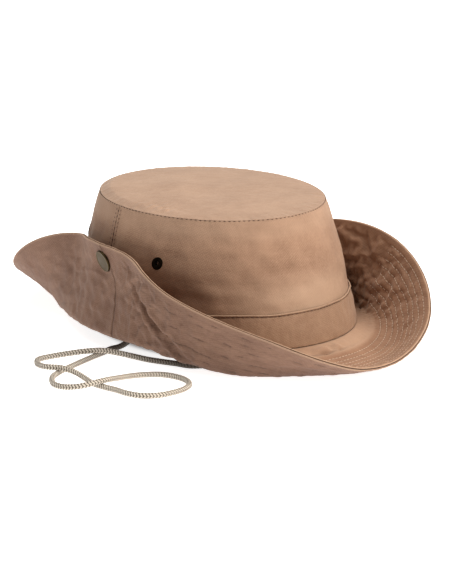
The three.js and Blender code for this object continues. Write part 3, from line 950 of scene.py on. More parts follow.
    def tabs(self, cloth: bpy.types.Material, thread: bpy.types.Material) -> None:
        """Makes the tab over each cord end: a flat pad with a superellipse outline, sewn down all round.

        Args:
            cloth: The tabs' finish.
            thread: Their stitches' finish.
        """
        half_length, half_width = BAND.rows[0][1:]
        thick = self.anchor_size[2]
        share = np.r_[0, 0.3, 0.6, 0.8, 0.88, 0.95, 0.985, 1.0, 0.985, 0.95, 0.8, 0.4, 0]
        rise = np.r_[0.5, 0.5, 0.48, 0.4, 0.34, 0.3, 0.2, 0.0, -0.2, -0.36, -0.45, -0.5, -0.5] * thick * 0.9
        for side in Side:
            middle, local = self.form.middle_of(f"cord_anchor_{side.value}")
            angle = np.degrees(np.arctan2(local[0] / half_width, -local[1] / half_length))
            inward = -self.form.wall_normal(angle, local[2])
            upward = unit(np.array([0, 0, 1.0]) - inward[2] * inward)
            across = np.cross(upward, inward)
            x, y = (np.outer(size, share) / 2 for size in self.outline(np.linspace(0, 2 * np.pi, 48, False)))
            grid = x[..., None] * across + y[..., None] * upward + rise[None, :, None] * inward
            uv = np.concatenate([flat_uv(x, y), flat_uv(x[:1], y[:1])])
            tab = lay_surface(f"cord_tab_{side.value}", middle + grid * MM, uv, {"wear_and_painted_light": 0.0, "painted_shade": 0.0},
                              poles=True)
            hand_over(tab, Slot.CROWN, cloth, f"cord_anchor_{side.value}")
            x, y = self.outline(np.linspace(0, 2 * np.pi, 400))
            line = x[:, None] * 0.41 * across + y[:, None] * 0.39 * upward + 0.37 * thick * inward
            line = middle / MM + line
            at = evenly(line, 2.4)
            row = sew(f"cord_tab_stitches_{side.value}", read_at(at, line) * MM,
                      read_at(at, np.gradient(line, axis=0)), np.broadcast_to(inward, (len(at), 3)), 1.9, 0.2)
            hand_over(row, Slot.CROWN, thread)


@dataclass
class Crown:
    """The crown: two wall panels sewn at the sides, and the oval tip sewn on their top edge.

    Attributes:
        form: The hat's sewn shape.
        cloth: One layer of crown cloth with its facing.
        foot: The height of the wall's cut foot, hidden behind the band.
        top: The height of the wall's top, where it turns in to the tip's seam.
        roll: The radius of the cloth's turned edges.
        radius: The wall's mean radius, which turns degrees into mm.
        seam_radius: The same at the side seams.
        rim_radius: The same at the tip's rim.
        seam_gap: Half the open width of a side seam.
        seam_depth: How deep the cloth dips at a seam.
        topstitch: How far from a side seam the two topstitched rows run.
        stitch: A stitch's length and pitch.
        thread: The thread's radius, drawn a little too thick so that it shows.
        tip_cloth: The tip's thickness.
        tip_roll: The radius of its rim.
        tip_puff: How far the tip's cloth stands up along its left back edge.
        dents: The wall's long low dents.
        creases: The wall's finer wrinkles.
        tip_slack: The tip's broad slackness.
        tip_pucker: The puckers that run in from its seam.
        tip_gather: Its gathers at the left front.
        finish: The wall's finish.
        painted_light_tip_finish: The tip's: the crown's cloth made paler, as painted light on the top, with
            more sheen.
        sewing: The thread's.
        eyelets: The eyelets' angles: left front, right front, right rear and left rear.
        eyelet_height: Their height above the crown's foot.
        eyelet_hole: The radius of their holes.
    """

    form: HatForm
    cloth: float = 1.4
    foot: float = -1.4
    top: float = 81.2
    roll: float = 0.3
    radius: float = 84.0
    seam_radius: float = 92.0
    rim_radius: float = 76.0
    seam_gap: float = 0.1
    seam_depth: float = 0.28
    topstitch: float = 2.7
    stitch: tuple[float, float] = (1.8, 2.7)
    thread: float = 0.24
    tip_cloth: float = 1.3
    tip_roll: float = 0.28
    tip_puff: float = 2.6
    dents: Ripple = Ripple(21, 30.0, 2.6, 560.0)
    creases: Ripple = Ripple(22, 11.0, 2.2, 560.0)
    tip_slack: Ripple = Ripple(31, 44.0, 1.0, 1e6)
    tip_pucker: Ripple = Ripple(32, 9.0, 0.6, 2 * np.pi * 76)
    tip_gather: Ripple = Ripple(33, 7.5, 0.7, 2 * np.pi * 76)
    finish: WovenCotton = WovenCotton("washed_cotton_crown", "#896953", "#aa876e", "#5a3a26", "#c9aa90",
                                      mottle=1.5, sheen=0.1)
    # The tip's cloth is the crown's, painted paler as painted light on the top.
    painted_light_tip_finish: WovenCotton = WovenCotton("washed_cotton_tip_painted_light", "#967660", "#b6967e", "#6b4b37", "#c4a68b",
                                          sheen=0.35)
    sewing: SpunThread = SpunThread("spun_thread_brown", "#3a2316", "#5a3b28")
    eyelets: tuple[float, ...] = (297.0, 63.0, 134.0, 226.0)
    eyelet_height: float = 52.4
    eyelet_hole: float = 2.6

    def seam_distance(self, angle: Array) -> Array:
        """Distance in mm round the wall to the nearest side seam."""
        left, right = (np.abs(turn_between(angle, seam)) for seam in self.form.seams)
        return np.radians(np.minimum(left, right)) * self.seam_radius

    def wall_relief(self, angle: Array, height: Array) -> Array:
        """How far the wall's face stands out: dents and wrinkles, plus ridge and dip at the side seams.

        Args:
            angle: Degrees round the hat.
            height: Height above the crown's foot.

        Returns:
            Distances in mm along the wall's normal.
        """
        along = np.radians(angle) * self.radius
        soft = 0.36 * self.dents.at(along, height) + 0.2 * self.creases.at(along, height)
        gone = self.seam_distance(angle)
        ridge = 0.3 * smooth((self.topstitch + 1.2 - gone) / 1.4)
        rows = -0.12 * bell((gone - self.topstitch) / 0.5)
        dip = -self.seam_depth * bell(gone / 0.55)
        calm = smooth((self.form.crown_height - height) / 10.0) * smooth((height - 16.0) / 16.0)
        taut = near(angle, 56, 9) + near(angle, 229, 9)
        calm = (0.15 + 0.85 * calm) * smooth((gone - 1.0) / 9.0)
        return soft * calm * (1 - 0.8 * taut) + ridge + rows + dip

    def wall_face(self, angle: Array, height: Array) -> Array:
        """The wall's face in mm: the oval moved out along its normal by the relief."""
        return self.wall_at(angle, height, self.wall_relief(angle, height))

    def wall_at(self, angle: Array, height: Array, out: Array) -> Array:
        """Points that lie so far out from the wall's oval, along its normal."""
        return self.form.oval(WALL, angle, height) + out[..., None] * self.form.wall_normal(angle, height)

    def wall(self, name: str, start: float, end: float, eyelets: tuple[float, ...],
             node: str, material: bpy.types.Material) -> None:
        """Makes one wall panel as a closed cloth: outer face, turned top edge, inner face and cut foot.

        Args:
            name: The piece's name.
            start: The angle of the seam where it starts.
            end: The angle of the seam where it ends.
            eyelets: The angles of its eyelets.
            node: The CAD node that it stands for.
            material: Its finish.
        """
        close = np.r_[0, 0.12, 0.3, 0.55, 0.9, 1.3, 1.7, 2.1, 2.4, 2.7, 3.0, 3.4, 3.9, 4.5, 5.2]
        close = np.degrees((close + self.seam_gap) / self.seam_radius)
        middle = np.linspace(start + close[-1] + 0.5, end - close[-1] - 0.5, 250)
        angle = np.concatenate([start + close, middle, (end - close)[::-1]])[:, None]
        height = np.concatenate([np.linspace(self.foot, 20, 9), np.linspace(21.2, self.top, 49)])
        turn = np.linspace(0, np.pi / 2, 4)[1:]
        over = np.concatenate([height, self.top + self.roll * np.sin(turn)])[None]
        inset = np.concatenate([0 * height, self.roll * (1 - np.cos(turn))])[None]
        relief = self.wall_relief(angle, over)
        inner = self.wall_at(angle, over, np.minimum(relief, 0.6) * 0.8 - self.cloth + inset)
        grid = np.concatenate([self.wall_at(angle, over, relief - inset), inner[:, ::-1]], axis=1)
        uv = flat_uv(np.radians(angle) * self.radius, np.concatenate([over, over[:, ::-1] + 100.0], axis=1))
        uv = np.concatenate([uv, uv[:, :1]], axis=1)
        gone = self.seam_distance(angle)
        turned_to = np.mod(angle, 360.0)
        # Painted shade down in the side seams and along their topstitched rows.
        painted_shade = 0.6 * bell(gone / 0.5) + 0.25 * bell((gone - self.topstitch) / 0.4)
        # Painted shade on the left front wall beneath the brim's fold, and on the left side wall.
        painted_shade = painted_shade + 0.75 * near(angle, 302, 26) * smooth((64.0 - over) / 32.0)
        painted_shade = painted_shade + 0.35 * smooth((274.0 - turned_to) / 8.0) * smooth((turned_to - 200.0) / 20.0)
        # Painted light on the top roll, paling the shadow of the tip's seam, and on the upper wall.
        wear_and_painted_light = 0.5 * smooth((over - self.top) / 0.2) + 0.22 * smooth((over - 64.0) / 12.0)
        # Painted light on the lower front wall, which the brim would shade.
        wear_and_painted_light = wear_and_painted_light + 0.6 * smooth((52.0 - over) / 22.0) * near(angle, 10, 34)
        # Painted shade on the inner faces: the crown's inside, as seen through the eyelets.
        marks = {"painted_shade": np.concatenate([np.clip(painted_shade, 0, 1), 0 * painted_shade + 0.6], axis=1),
                 "wear_and_painted_light": np.concatenate([np.clip(wear_and_painted_light, 0, 0.7), 0 * wear_and_painted_light], axis=1)}
        panel = lay_surface(name, self.form.place(grid), uv, marks, around=False, section=True, caps=True)
        self.punch(panel, eyelets)
        hand_over(panel, Slot.CROWN, material, node)

    def punch(self, panel: bpy.types.Object, angles: tuple[float, ...]) -> None:
        """Cuts the round eyelet holes through a panel.

        Args:
            panel: The panel.
            angles: The holes' angles.
        """
        for angle in angles:
            place = self.form.place(self.form.oval(WALL, np.array(angle), np.array(self.eyelet_height)))
            rod = np.array([[0, -4], [self.eyelet_hole, -4], [self.eyelet_hole, 4], [0, 4]])
            drill = turned("drill", rod, place, self.form.wall_normal(angle, self.eyelet_height))
            cut = panel.modifiers.new("hole", "BOOLEAN")
            cut.operation, cut.solver, cut.object = "DIFFERENCE", "EXACT", drill
            depsgraph = bpy.context.evaluated_depsgraph_get()
            mesh = bpy.data.meshes.new_from_object(panel.evaluated_get(depsgraph),
                                                   preserve_all_data_layers=True, depsgraph=depsgraph)
            panel.modifiers.clear()
            panel.data = mesh
            bpy.data.objects.remove(drill)

    def tip_face(self, angle: Array, share: Array) -> Array:
        """The tip's upper face: from its middle to the rim it falls by the square of the share."""
        rim = self.form.oval(WALL, angle, np.array(self.form.crown_height))
        lean = np.array([*self.form.lean, self.form.crown_height])
        point = lean + (rim - lean) * share[..., None]
        point[..., 2] += self.form.tip_dome * (1 - share**2)
        return point

    def tip_relief(self, angle: Array, share: Array) -> Array:
        """How far the tip's face stands up: broad slackness, and puckers that run in from the seam."""
        a = np.radians(angle)
        rim = a * self.rim_radius
        slack = 0.3 * self.tip_slack.at(np.sin(a) * share * 70, np.cos(a) * share * 83) * (1 - share**2)
        slack = slack + self.tip_puff * near(angle, 238, 58) * smooth((1 - share) / 0.1) * share
        pucker = 0.12 * self.tip_pucker.at(rim, share * 20.0)
        pucker = pucker * bell((1 - share) / 0.1) * smooth((1 - share) / 0.012)
        gather = near(angle, 290, 11) * bell((share - 0.86) / 0.1)
        return slack + pucker + 0.45 * gather * self.tip_gather.at(rim, share * 60.0)

    def tip(self, material: bpy.types.Material) -> None:
        """Makes the tip as a closed cloth: upper face, rolled rim and under face, from pole to pole."""
        angle = np.linspace(0, 360, 420, endpoint=False)[:, None]
        share = np.concatenate([np.linspace(0, 0.8, 30), np.linspace(0.815, 0.99, 22)])[None]
        back = share[:, ::-3]
        radius = self.tip_roll
        top, under = self.tip_face(angle, share), self.tip_face(angle, back)
        top[..., 2] += self.tip_relief(angle, share)
        under[..., 2] += np.minimum(self.tip_relief(angle, back), 0.3) - self.tip_cloth
        edge = self.tip_face(angle, np.array([[1.0]]))
        outward = unit((edge - self.tip_face(angle, np.array([[0.9]]))) * [1, 1, 0])
        turn = np.linspace(np.pi / 2, -np.pi / 2, 9)
        rim = edge + outward * (radius * np.cos(turn) - radius - 0.08)[None, :, None]
        rim[..., 2] += (radius * (np.sin(turn) - 1))[None]
        grid = np.concatenate([top, rim, under], axis=1)
        for pole in (0, -1):
            grid[:, pole] = grid[:, pole].mean(axis=0)
        uv = flat_uv(grid[..., 0], grid[..., 1])
        # Painted light on the lower half of the rim, paling the shadow where it meets the wall.
        wear_and_painted_light = np.concatenate([0 * share, 0.5 * smooth(0.5 - np.sin(turn))[None], 0 * back], axis=1)
        cap = lay_surface("tip_cloth", self.form.place(grid), np.concatenate([uv, uv[:1]]),
                          {"painted_shade": 0.0, "wear_and_painted_light": wear_and_painted_light}, poles=True)
        hand_over(cap, Slot.CROWN, material, "crown_tip")

    def seam_rows(self, material: bpy.types.Material) -> None:
        """Sews a closing row and two topstitched rows at each side seam, and one row in the tip's seam."""
        length, pitch = self.stitch
        height = np.linspace(24.0, self.top - 0.8, 200)
        for side, seam in zip(Side, self.form.seams):
            for name, offsets, long, thick in (("closing", (0.0,), length * 1.35, self.thread * 1.4),
                                               ("topstitch", (-self.topstitch, self.topstitch), length, 0.2)):
                runs = []
                for offset in offsets:
                    angle = np.full(200, seam + np.degrees(offset / self.seam_radius))
                    runs.append(run_on(self.form, self.wall_face(angle, height),
                                       self.form.wall_normal(angle, height), pitch * long / length))
                spots, ways, ups = (np.concatenate(parts) for parts in zip(*runs))
                row = sew(f"side_seam_{name}_{side.value}", spots + ups * thick * 0.3 * MM, ways, ups,
                          long, thick, 1.3)
                hand_over(row, Slot.CROWN, material)
        angle, seat = np.linspace(0, 360, 1500), np.full(1500, self.top + self.roll)
        stitches = run_on(self.form, self.form.oval(WALL, angle, seat), self.form.wall_normal(angle, seat),
                          pitch * 1.15)
        row = sew("tip_seam_stitches", *stitches, length * 0.9, self.thread * 1.2)
        hand_over(row, Slot.CROWN, material)

    def build(self) -> None:
        """Makes the panels, the tip and their stitching."""
        cloth, thread = self.finish.material(), self.sewing.material()
        left, right = self.form.seams
        self.wall("wall_cloth_front", left - 360, right, self.eyelets[:2], "crown_wall_front", cloth)
        self.wall("wall_cloth_back", right, left, self.eyelets[2:], "crown_wall_back", cloth)
        self.tip(self.painted_light_tip_finish.material())
        self.seam_rows(thread)


@dataclass
class Band:
    """The hat band: a folded strip round the crown's foot, its top edge standing up as a thin roll.

    Attributes:
        form: The hat's sewn shape.
        height: The top edge above the crown's foot.
        lift: Its lower edge above the brim's root.
        thickness: From its outer face to its inner face.
        bead: The radius of the roll along its top edge.
        bead_proud: How far the roll stands out past the band's face.
        hem: The radius of its turned lower edge.
        radius: Its mean radius, which turns degrees into mm.
        draw_in: How far its top and its foot lie off the plain oval.
        finish: The cloth's finish.
        sewing: The thread's.
        slack: Its broad slackness.
        drag: Its finer wrinkles.
    """

    form: HatForm
    height: float = 23.5
    lift: float = 3.1
    thickness: float = 1.1
    bead: float = 0.5
    bead_proud: float = 0.25
    hem: float = 0.55
    radius: float = 94.0
    draw_in: tuple[float, float] = (-0.95, -0.2)
    finish: WovenCotton = WovenCotton("washed_cotton_band", "#8d6d56", "#ad8c72", "#6b4b37", "#c4a68b",
                                      sheen=0.2)
    sewing: SpunThread = SpunThread("spun_thread_band", "#553f2f", "#745a46")
    slack: Ripple = Ripple(41, 34.0, 1.2, 590.0)
    drag: Ripple = Ripple(42, 9.0, 0.8, 590.0)

    def wave(self, angle: Array) -> Array:
        """How far the top edge waves up and down, in mm."""
        return 0.22 * self.slack.at(np.radians(angle) * self.radius, 0 * angle + 7.0)

    def build(self) -> None:
        """Makes the band: its section is a closed loop of a rolled top, a stitched dip, a face and a hem."""
        angle = np.linspace(0, 360, 560, endpoint=False)[:, None]
        turn, under = np.radians(np.linspace(180, -75, 12)), np.radians(np.linspace(0, -180, 9))[1:]
        share, back = np.linspace(0.96, 0.0, 15), np.linspace(0.1, 0.92, 6)
        foot = BRIM.at("rise", angle) + self.lift
        dip = self.height - np.array([1.35, 1.7, 2.2, 3.0])
        parts = (
            (self.height - self.bead + self.bead * np.sin(turn),
             self.bead_proud - self.bead + self.bead * np.cos(turn)),
            (dip, np.array([-0.55, -0.45, -0.2, -0.02])),
            (foot + self.hem + (dip[-1] - foot - self.hem) * share, 0.3 * np.sin(np.pi * share)),
            (foot + self.hem + self.hem * np.sin(under), -self.hem + self.hem * np.cos(under)),
            (foot + (self.height - foot) * back, 0 * back - self.thickness),
        )
        up, out = (np.concatenate([part + 0 * foot for part in way], axis=1) for way in zip(*parts))
        along = np.radians(angle) * self.radius
        soft = 0.16 * self.slack.at(along, up) + 0.1 * self.drag.at(along, up)
        out = out + np.where(out > -self.thickness + 0.05, soft, 0)
        out = out + self.draw_in[1] + (self.draw_in[0] - self.draw_in[1]) * smooth(up / self.height)
        grid = self.form.oval(BAND, angle, up, out)
        grid[..., 2] += self.wave(angle) * smooth((up - self.height + 5) / 5)
        painted_shade, wear_and_painted_light = np.zeros(up.shape), np.zeros(up.shape)
        bead = len(turn)
        face_end = bead + len(dip) + len(share)
        # Painted shadow under the top roll and under the turned lower edge.
        painted_shade[:, bead - 2:bead + 2] = (0.2, 0.5, 0.5, 0.2)
        painted_shade[:, face_end + 2:face_end + 7] = 0.5
        # Painted shade on the left front, where the brim's fold shades the band.
        painted_shade = np.maximum(painted_shade, 0.65 * near(angle, 318, 17))
        # Painted highlight along the top of the roll.
        wear_and_painted_light[:, 3:bead - 4] = 0.3
        uv = flat_uv(np.radians(closed_rows(angle[:, 0])) * self.radius,
                     -np.concatenate([up[:1], up[:1, :1]], axis=1))
        strip = lay_surface("band_cloth", self.form.place(grid), uv, {"painted_shade": painted_shade, "wear_and_painted_light": wear_and_painted_light},
                            section=True)
        hand_over(strip, Slot.CROWN, self.finish.material(), "hat_band")
        fine, level = np.linspace(0, 360, 2000), np.full(2000, dip[0] - 0.1)
        line = self.form.oval(BAND, fine, level, -0.38 + self.draw_in[0])
        line[:, 2] += self.wave(fine)
        stitches = run_on(self.form, line, self.form.wall_normal(fine, level), 3.0)
        hand_over(sew("band_stitches", *stitches, 2.2, 0.26), Slot.CROWN, self.sewing.material())


@dataclass
class Buckles:
    """The buckles of the brim's cloth, from a cloth simulation of its middle sheet.

    The sheet starts on the brim's plain form with a little seeded unevenness. Its root, its hem and the
    places under the snaps are held, its quilting rows are half held, and its threads are longer than their
    places, most of all where the right side curls in, so it buckles between the rows.

    Attributes:
        form: The hat's sewn shape.
        around: Points round the sheet.
        across: Points across it.
        frames: Steps of the simulation.
        swell: How much longer the loosest threads are than their places.
        enlarge: How many times larger than life the sheet is simulated, which suits the solver.
        cap: How far a point may move, in mm.
        levels: How many steps the sheet's weights are rounded to.
        start: The unevenness that it starts from.
        relief: How far each point has moved outwards.
    """

    form: HatForm
    around: int = 420
    across: int = 36
    frames: int = 14
    swell: float = 0.14
    enlarge: float = 10.0
    cap: float = 3.2
    levels: int = 20
    start: Ripple = Ripple(61, 9.0, 1.0, 754.0, 30)
    relief: Array | None = None

    def loose(self, angle: Array, share: Array) -> Array:
        """How much too long the cloth is, from 0 to 1: most at the right, some by the left front fold."""
        right = 0.85 * near(angle, 79, 18) + 0.1 * near(angle, 48, 10)
        fold = 0.5 * near(angle, 298, 9)
        return np.clip(right + fold + 0 * share, 0, 1)

    def held(self, angle: Array, share: Array) -> Array:
        """How firmly each point is held, from 0 to 1."""
        ends = np.maximum(smooth((0.14 - share) / 0.08), smooth((share - 0.86) / 0.08))
        count = (1 - share) * self.form.brim_width / self.form.row_pitch
        rows = 0.3 * bell((count - np.round(count)) / 0.2) + 0.02
        spots = [bell(self.form.from_snap(angle, share, snap) / 11.0) for snap in self.form.snaps]
        return np.clip(np.maximum(np.maximum(ends, rows), np.maximum(*spots)), 0, 1)

    def simulate(self) -> None:
        angle, share = np.meshgrid(np.arange(self.around) * 360.0 / self.around,
                                   np.linspace(0, 1, self.across), indexing="ij")
        self.relief = np.zeros(angle.shape)
        normal = self.form.brim_normal(angle, share)
        middle = self.form.brim_lower(angle, share) + normal
        held = self.held(angle, share)
        uneven = 0.15 * self.start.at(self.form.girth(angle), share * self.form.brim_width) * (1 - held)
        size = self.enlarge * MM
        number = np.arange(angle.size).reshape(angle.shape)
        after = np.roll(number, -1, axis=0)
        faces = np.stack([number[:, :-1], after[:, :-1], after[:, 1:], number[:, 1:]], axis=-1).reshape(-1, 4)
        mesh = bpy.data.meshes.new("brim_sheet")
        mesh.from_pydata(((middle + normal * uneven[..., None]) * size).reshape(-1, 3), [], faces.tolist())
        sheet = link("brim_sheet", mesh)
        for name, weights in (("held", held), ("tight", 1 - self.loose(angle, share))):
            group = sheet.vertex_groups.new(name=name)
            level = np.round(weights.ravel() * self.levels).astype(int)
            for step in range(1, self.levels + 1):
                group.add(np.flatnonzero(level == step).tolist(), step / self.levels, "REPLACE")
        cloth = sheet.modifiers.new("drape", "CLOTH")
        for setting, value in (("quality", 6), ("mass", 0.02), ("tension_stiffness", 20.0),
                               ("compression_stiffness", 20.0), ("shear_stiffness", 8.0),
                               ("bending_stiffness", 0.05), ("vertex_group_mass", "held"),
                               ("pin_stiffness", 1.0), ("vertex_group_shrink", "tight"),
                               ("shrink_max", 0.0), ("shrink_min", -self.swell)):
            setattr(cloth.settings, setting, value)
        cloth.settings.effector_weights.gravity = 0.0
        cloth.collision_settings.use_collision = False
        cloth.point_cache.frame_start, cloth.point_cache.frame_end = 1, self.frames
        for step in range(1, self.frames + 1):
            bpy.context.scene.frame_set(step)
        seen = sheet.evaluated_get(bpy.context.evaluated_depsgraph_get()).to_mesh()
        moved = np.empty(angle.size * 3, np.float32)
        seen.vertices.foreach_get("co", moved)
        bpy.context.scene.frame_set(1)
        bpy.data.objects.remove(sheet)
        offset = ((moved.reshape(middle.shape) / size - middle) * normal).sum(-1)
        self.relief = self.cap * np.tanh(offset / self.cap)
        LOG.info("buckles: %.2f mm deep, %.2f mm on average", np.abs(offset).max(), np.abs(offset).mean())

    def at(self, angle: Array, share: Array) -> Array:
        """Reads the buckles: each place takes its nearest four rows and columns by cubic weights.

        Args:
            angle: Degrees round the hat.
            share: Share of the brim's width.

        Returns:
            How far the sheet has moved outwards at each place, in mm.
        """
        angle, share = np.broadcast_arrays(angle, share)
        x = np.mod(angle, 360.0) / 360.0 * self.around
        y = np.clip(share, 0, 1) * (self.across - 1)
        i, j = np.floor(x).astype(int), np.floor(y).astype(int)
        total = np.zeros(angle.shape)

        def weights(t: Array) -> tuple[Array, Array, Array, Array]:
            """The four cubic weights at t between the second and third point."""
            return ((-t + 2 * t**2 - t**3) / 2, (2 - 5 * t**2 + 3 * t**3) / 2,
                    (t + 4 * t**2 - 3 * t**3) / 2, (t**3 - t**2) / 2)

        for a, wide in enumerate(weights(x - i)):
            for b, high in enumerate(weights(y - j)):
                row = (i + a - 1) % self.around
                total += wide * high * self.relief[row, np.clip(j + b - 1, 0, self.across - 1)]
        return total


@dataclass
class Brim:
    """The brim: an upper and an under ply, quilted together in rows, with a rolled hem and side seams.

    Attributes:
        form: The hat's sewn shape.
        ply: One ply's thickness.
        thickness: Both plies together.
        rows: How many rows are sewn.
        pillow: How far the cloth stands up between two rows.
        seam_allowance: The cloth turned in under the band.
        stitch: A stitch's length and pitch.
        thread: The thread's radius, drawn a little too thick so that it shows.
        sunk: How deep a stitch lies where its row doesn't catch the cloth.
        snap_reach: How far round a snap the cloth follows it.
        snap_tilt: How steeply a snap tilts the cloth.
        roll: How far from the root the soft roll under the band lies at the front.
        tuck: The same for the tuck beside it.
        fold_depth: The height of the one and the depth of the other.
        slack: The brim's broad slackness.
        crease: Its finer wrinkles.
        rumple: The small uneven creases of its left side.
        facets: The flat facets, with sharp creases between them, of its right side.
        buckles: The simulated buckles of the cloth.
        pucker: The puckers along each quilted channel.
        catch: Where the under ply shows its rows.
        upper_finish, under_finish: Each ply's finish; the under ply's is the brim cloth made darker and more
            mauve, as painted shade on the underside.
        upper_thread, under_thread: Each ply's thread; the under ply's is darker than its cloth, as painted
            shade along the rows.
        seam_path: Where the left side seam runs; the right one mirrors it.
        seam_radius: The brim's radius at the seams' root and how much more it is at their hem.
        fine_at: The angles of the seams, round which the rows of points lie closer.
        fine_reach: How many degrees to each side they do.
    """

    form: HatForm
    ply: float = 0.92
    thickness: float = 2.0
    rows: int = 9
    pillow: float = 0.42
    seam_allowance: float = 1.6
    stitch: tuple[float, float] = (2.7, 3.0)
    thread: float = 0.27
    sunk: float = 1.1
    snap_reach: float = 12.0
    snap_tilt: float = 0.24
    roll: float = 5.2
    tuck: float = 9.2
    fold_depth: float = 1.6
    slack: Ripple = Ripple(51, 46.0, 1.5)
    crease: Ripple = Ripple(52, 17.0, 0.9)
    rumple: Ripple = Ripple(57, 8.5, 1.3)
    facets: Ripple = Ripple(58, 13.0, 0.6)
    buckles: Buckles | None = None
    pucker: Ripple = Ripple(54, 7.0, 1.0, 754.0, 26)
    catch: Ripple = Ripple(55, 12.0, 1.0, 754.0, 26)
    upper_finish: WovenCotton = WovenCotton("washed_cotton_brim", "#84614b", "#a37c60", "#583a26", "#c0a086",
                                            sheen=0.15)
    # The under ply is the brim's cloth, painted darker and more mauve as painted shade on the underside.
    under_finish: WovenCotton = WovenCotton("washed_cotton_brim_facing_painted_shade", "#6c4f40", "#886855", "#4f3729",
                                            "#b99a80", mottle=1.7, roughness=0.75, sheen=0.03)
    upper_thread: SpunThread = SpunThread("spun_thread_pale", "#bb9d85", "#dcc3ab")
    # The under ply's thread is darker than its cloth: painted shade along the rows.
    under_thread: SpunThread = SpunThread("spun_thread_facing", "#4d382c", "#694f3f")
    seam_path: Table = Table(("share", "angle"), ((-0.03, 280), (0.4, 280), (0.6, 279), (0.72, 276.4),
                                                  (0.86, 273.4), (1.0, 271.4)))
    seam_radius: tuple[float, float] = (95.0, 45.0)
    fine_at: tuple[float, float] = (274.8, 85.2)
    fine_reach: float = 5.0

    def places(self, angle: Array, share: Array) -> tuple[Array, Array]:
        """How far round and across the brim a place lies, in mm."""
        return self.form.girth(angle), share * self.form.brim_width

    def count(self, share: Array) -> Array:
        """How many row pitches a place lies from the hem."""
        return (1 - share) * self.form.brim_width / self.form.row_pitch

    def crumple(self, angle: Array, share: Array, height: Array) -> Array:
        """How far both plies stand off their plain form.

        Soft slackness and the creases pressed in by folding are added to the buckles of the simulated
        sheet; near the standing surface and round the snaps the cloth lies flatter.

        Args:
            angle: Degrees round the hat.
            share: Share of the brim's width.
            height: Height of the plain form above the standing surface.

        Returns:
            Distances in mm along the brim's normal.
        """
        along, across = self.places(angle, share)
        soft = 0.4 * self.slack.at(along, across) + 0.2 * self.crease.at(along, across)
        soft = soft + 0.24 * near(angle, 250, 45) * self.rumple.at(along, across)
        calm = smooth(share / 0.14) * (0.15 + 0.85 * smooth((1 - share) / 0.2))
        calm = calm * (0.2 + 0.8 * smooth((height - 1.0) / 9.0))
        up = across - self.form.snap_share * self.form.brim_width
        tilt = sum(-self.snap_tilt * up * bell(self.form.from_snap(angle, share, snap) / self.snap_reach)
                   for snap in self.form.snaps)
        pressed = sum(self.pressed(angle, across, *crease) for crease in CREASES)
        flat = near(angle, 231, 11) * bell((share - 0.18) / 0.16)
        lively = smooth((1 - share) / 0.12) * smooth((height - 1.0) / 11.0)
        moved = (soft + pressed) * calm + self.buckles.at(angle, share) * lively
        return (moved * self.free(angle, share) + tilt) * (1 - flat) + 1.3 * flat

    def free(self, angle: Array, share: Array) -> Array:
        """How freely the cloth moves, from 0 under the snaps to 1 past their reach."""
        gone = np.minimum(*(self.form.from_snap(angle, share, snap) for snap in self.form.snaps))
        return 1 - 0.97 * smooth((self.snap_reach + 2.0 - gone) / 6.0)

    def pressed(self, angle: Array, across: Array, first: float, low: float, last: float, high: float,
                depth: float, width: float) -> Array:
        """One pressed crease: a valley along a straight line of the cloth with a ridge beside it.

        Args:
            angle: Degrees round the hat.
            across: Distances from the brim's root in mm.
            first: The angle where the crease starts.
            low: The share of the width where it starts.
            last: The angle where it ends.
            high: The share of the width where it ends.
            depth: The valley's depth in mm.
            width: The valley's width in mm.

        Returns:
            The crease's height at each place.
        """
        way = np.array(self.places(last - first, high - low))
        length = float(np.hypot(*way))
        way = way / length
        x = self.form.girth(turn_between(angle, first))
        y = across - low * self.form.brim_width
        run, off = (x * way[0] + y * way[1]) / length, (x * way[1] - y * way[0]) / width
        ends = smooth((run + 0.12) / 0.3) * smooth((1.12 - run) / 0.3)
        return depth * ends * (0.7 * bell(off - 1.3) - bell(off * 1.3))

    def caught(self, angle: Array, count: Array, ply: Ply) -> Array:
        """How tightly a quilting row draws the cloth in: the under ply shows it in places.

        Args:
            angle: Degrees round the hat.
            count: Row pitches from the hem.
            ply: Which ply.

        Returns:
            From 0, not at all, to 1.
        """
        turned_to = np.mod(angle, 360.0)
        if ply is Ply.UPPER:
            slack = smooth((turned_to - 57.0) / 9.0) * smooth((140.0 - turned_to) / 12.0)
            return 1 - slack * (0.97 - 0.3 * smooth((count - 2.6) / 1.0))
        patchy = smooth((self.catch.at(self.form.girth(angle), np.round(count) * 57.3) - 0.15) / 0.7)
        plain = smooth((turned_to - 185.0) / 20.0) * smooth((306.0 - turned_to) / 14.0)
        return (0.4 + 0.6 * patchy) * (1 - 0.97 * plain)

    def seam_distance(self, angle: Array, share: Array) -> Array:
        """Distance in mm round the brim to the nearest side seam."""
        left = self.seam_path.at("angle", np.clip(share, -0.03, 1.0))
        gone = np.minimum(np.abs(turn_between(angle, left)), np.abs(turn_between(angle, 360 - left)))
        return np.radians(gone) * (self.seam_radius[0] + self.seam_radius[1] * share)

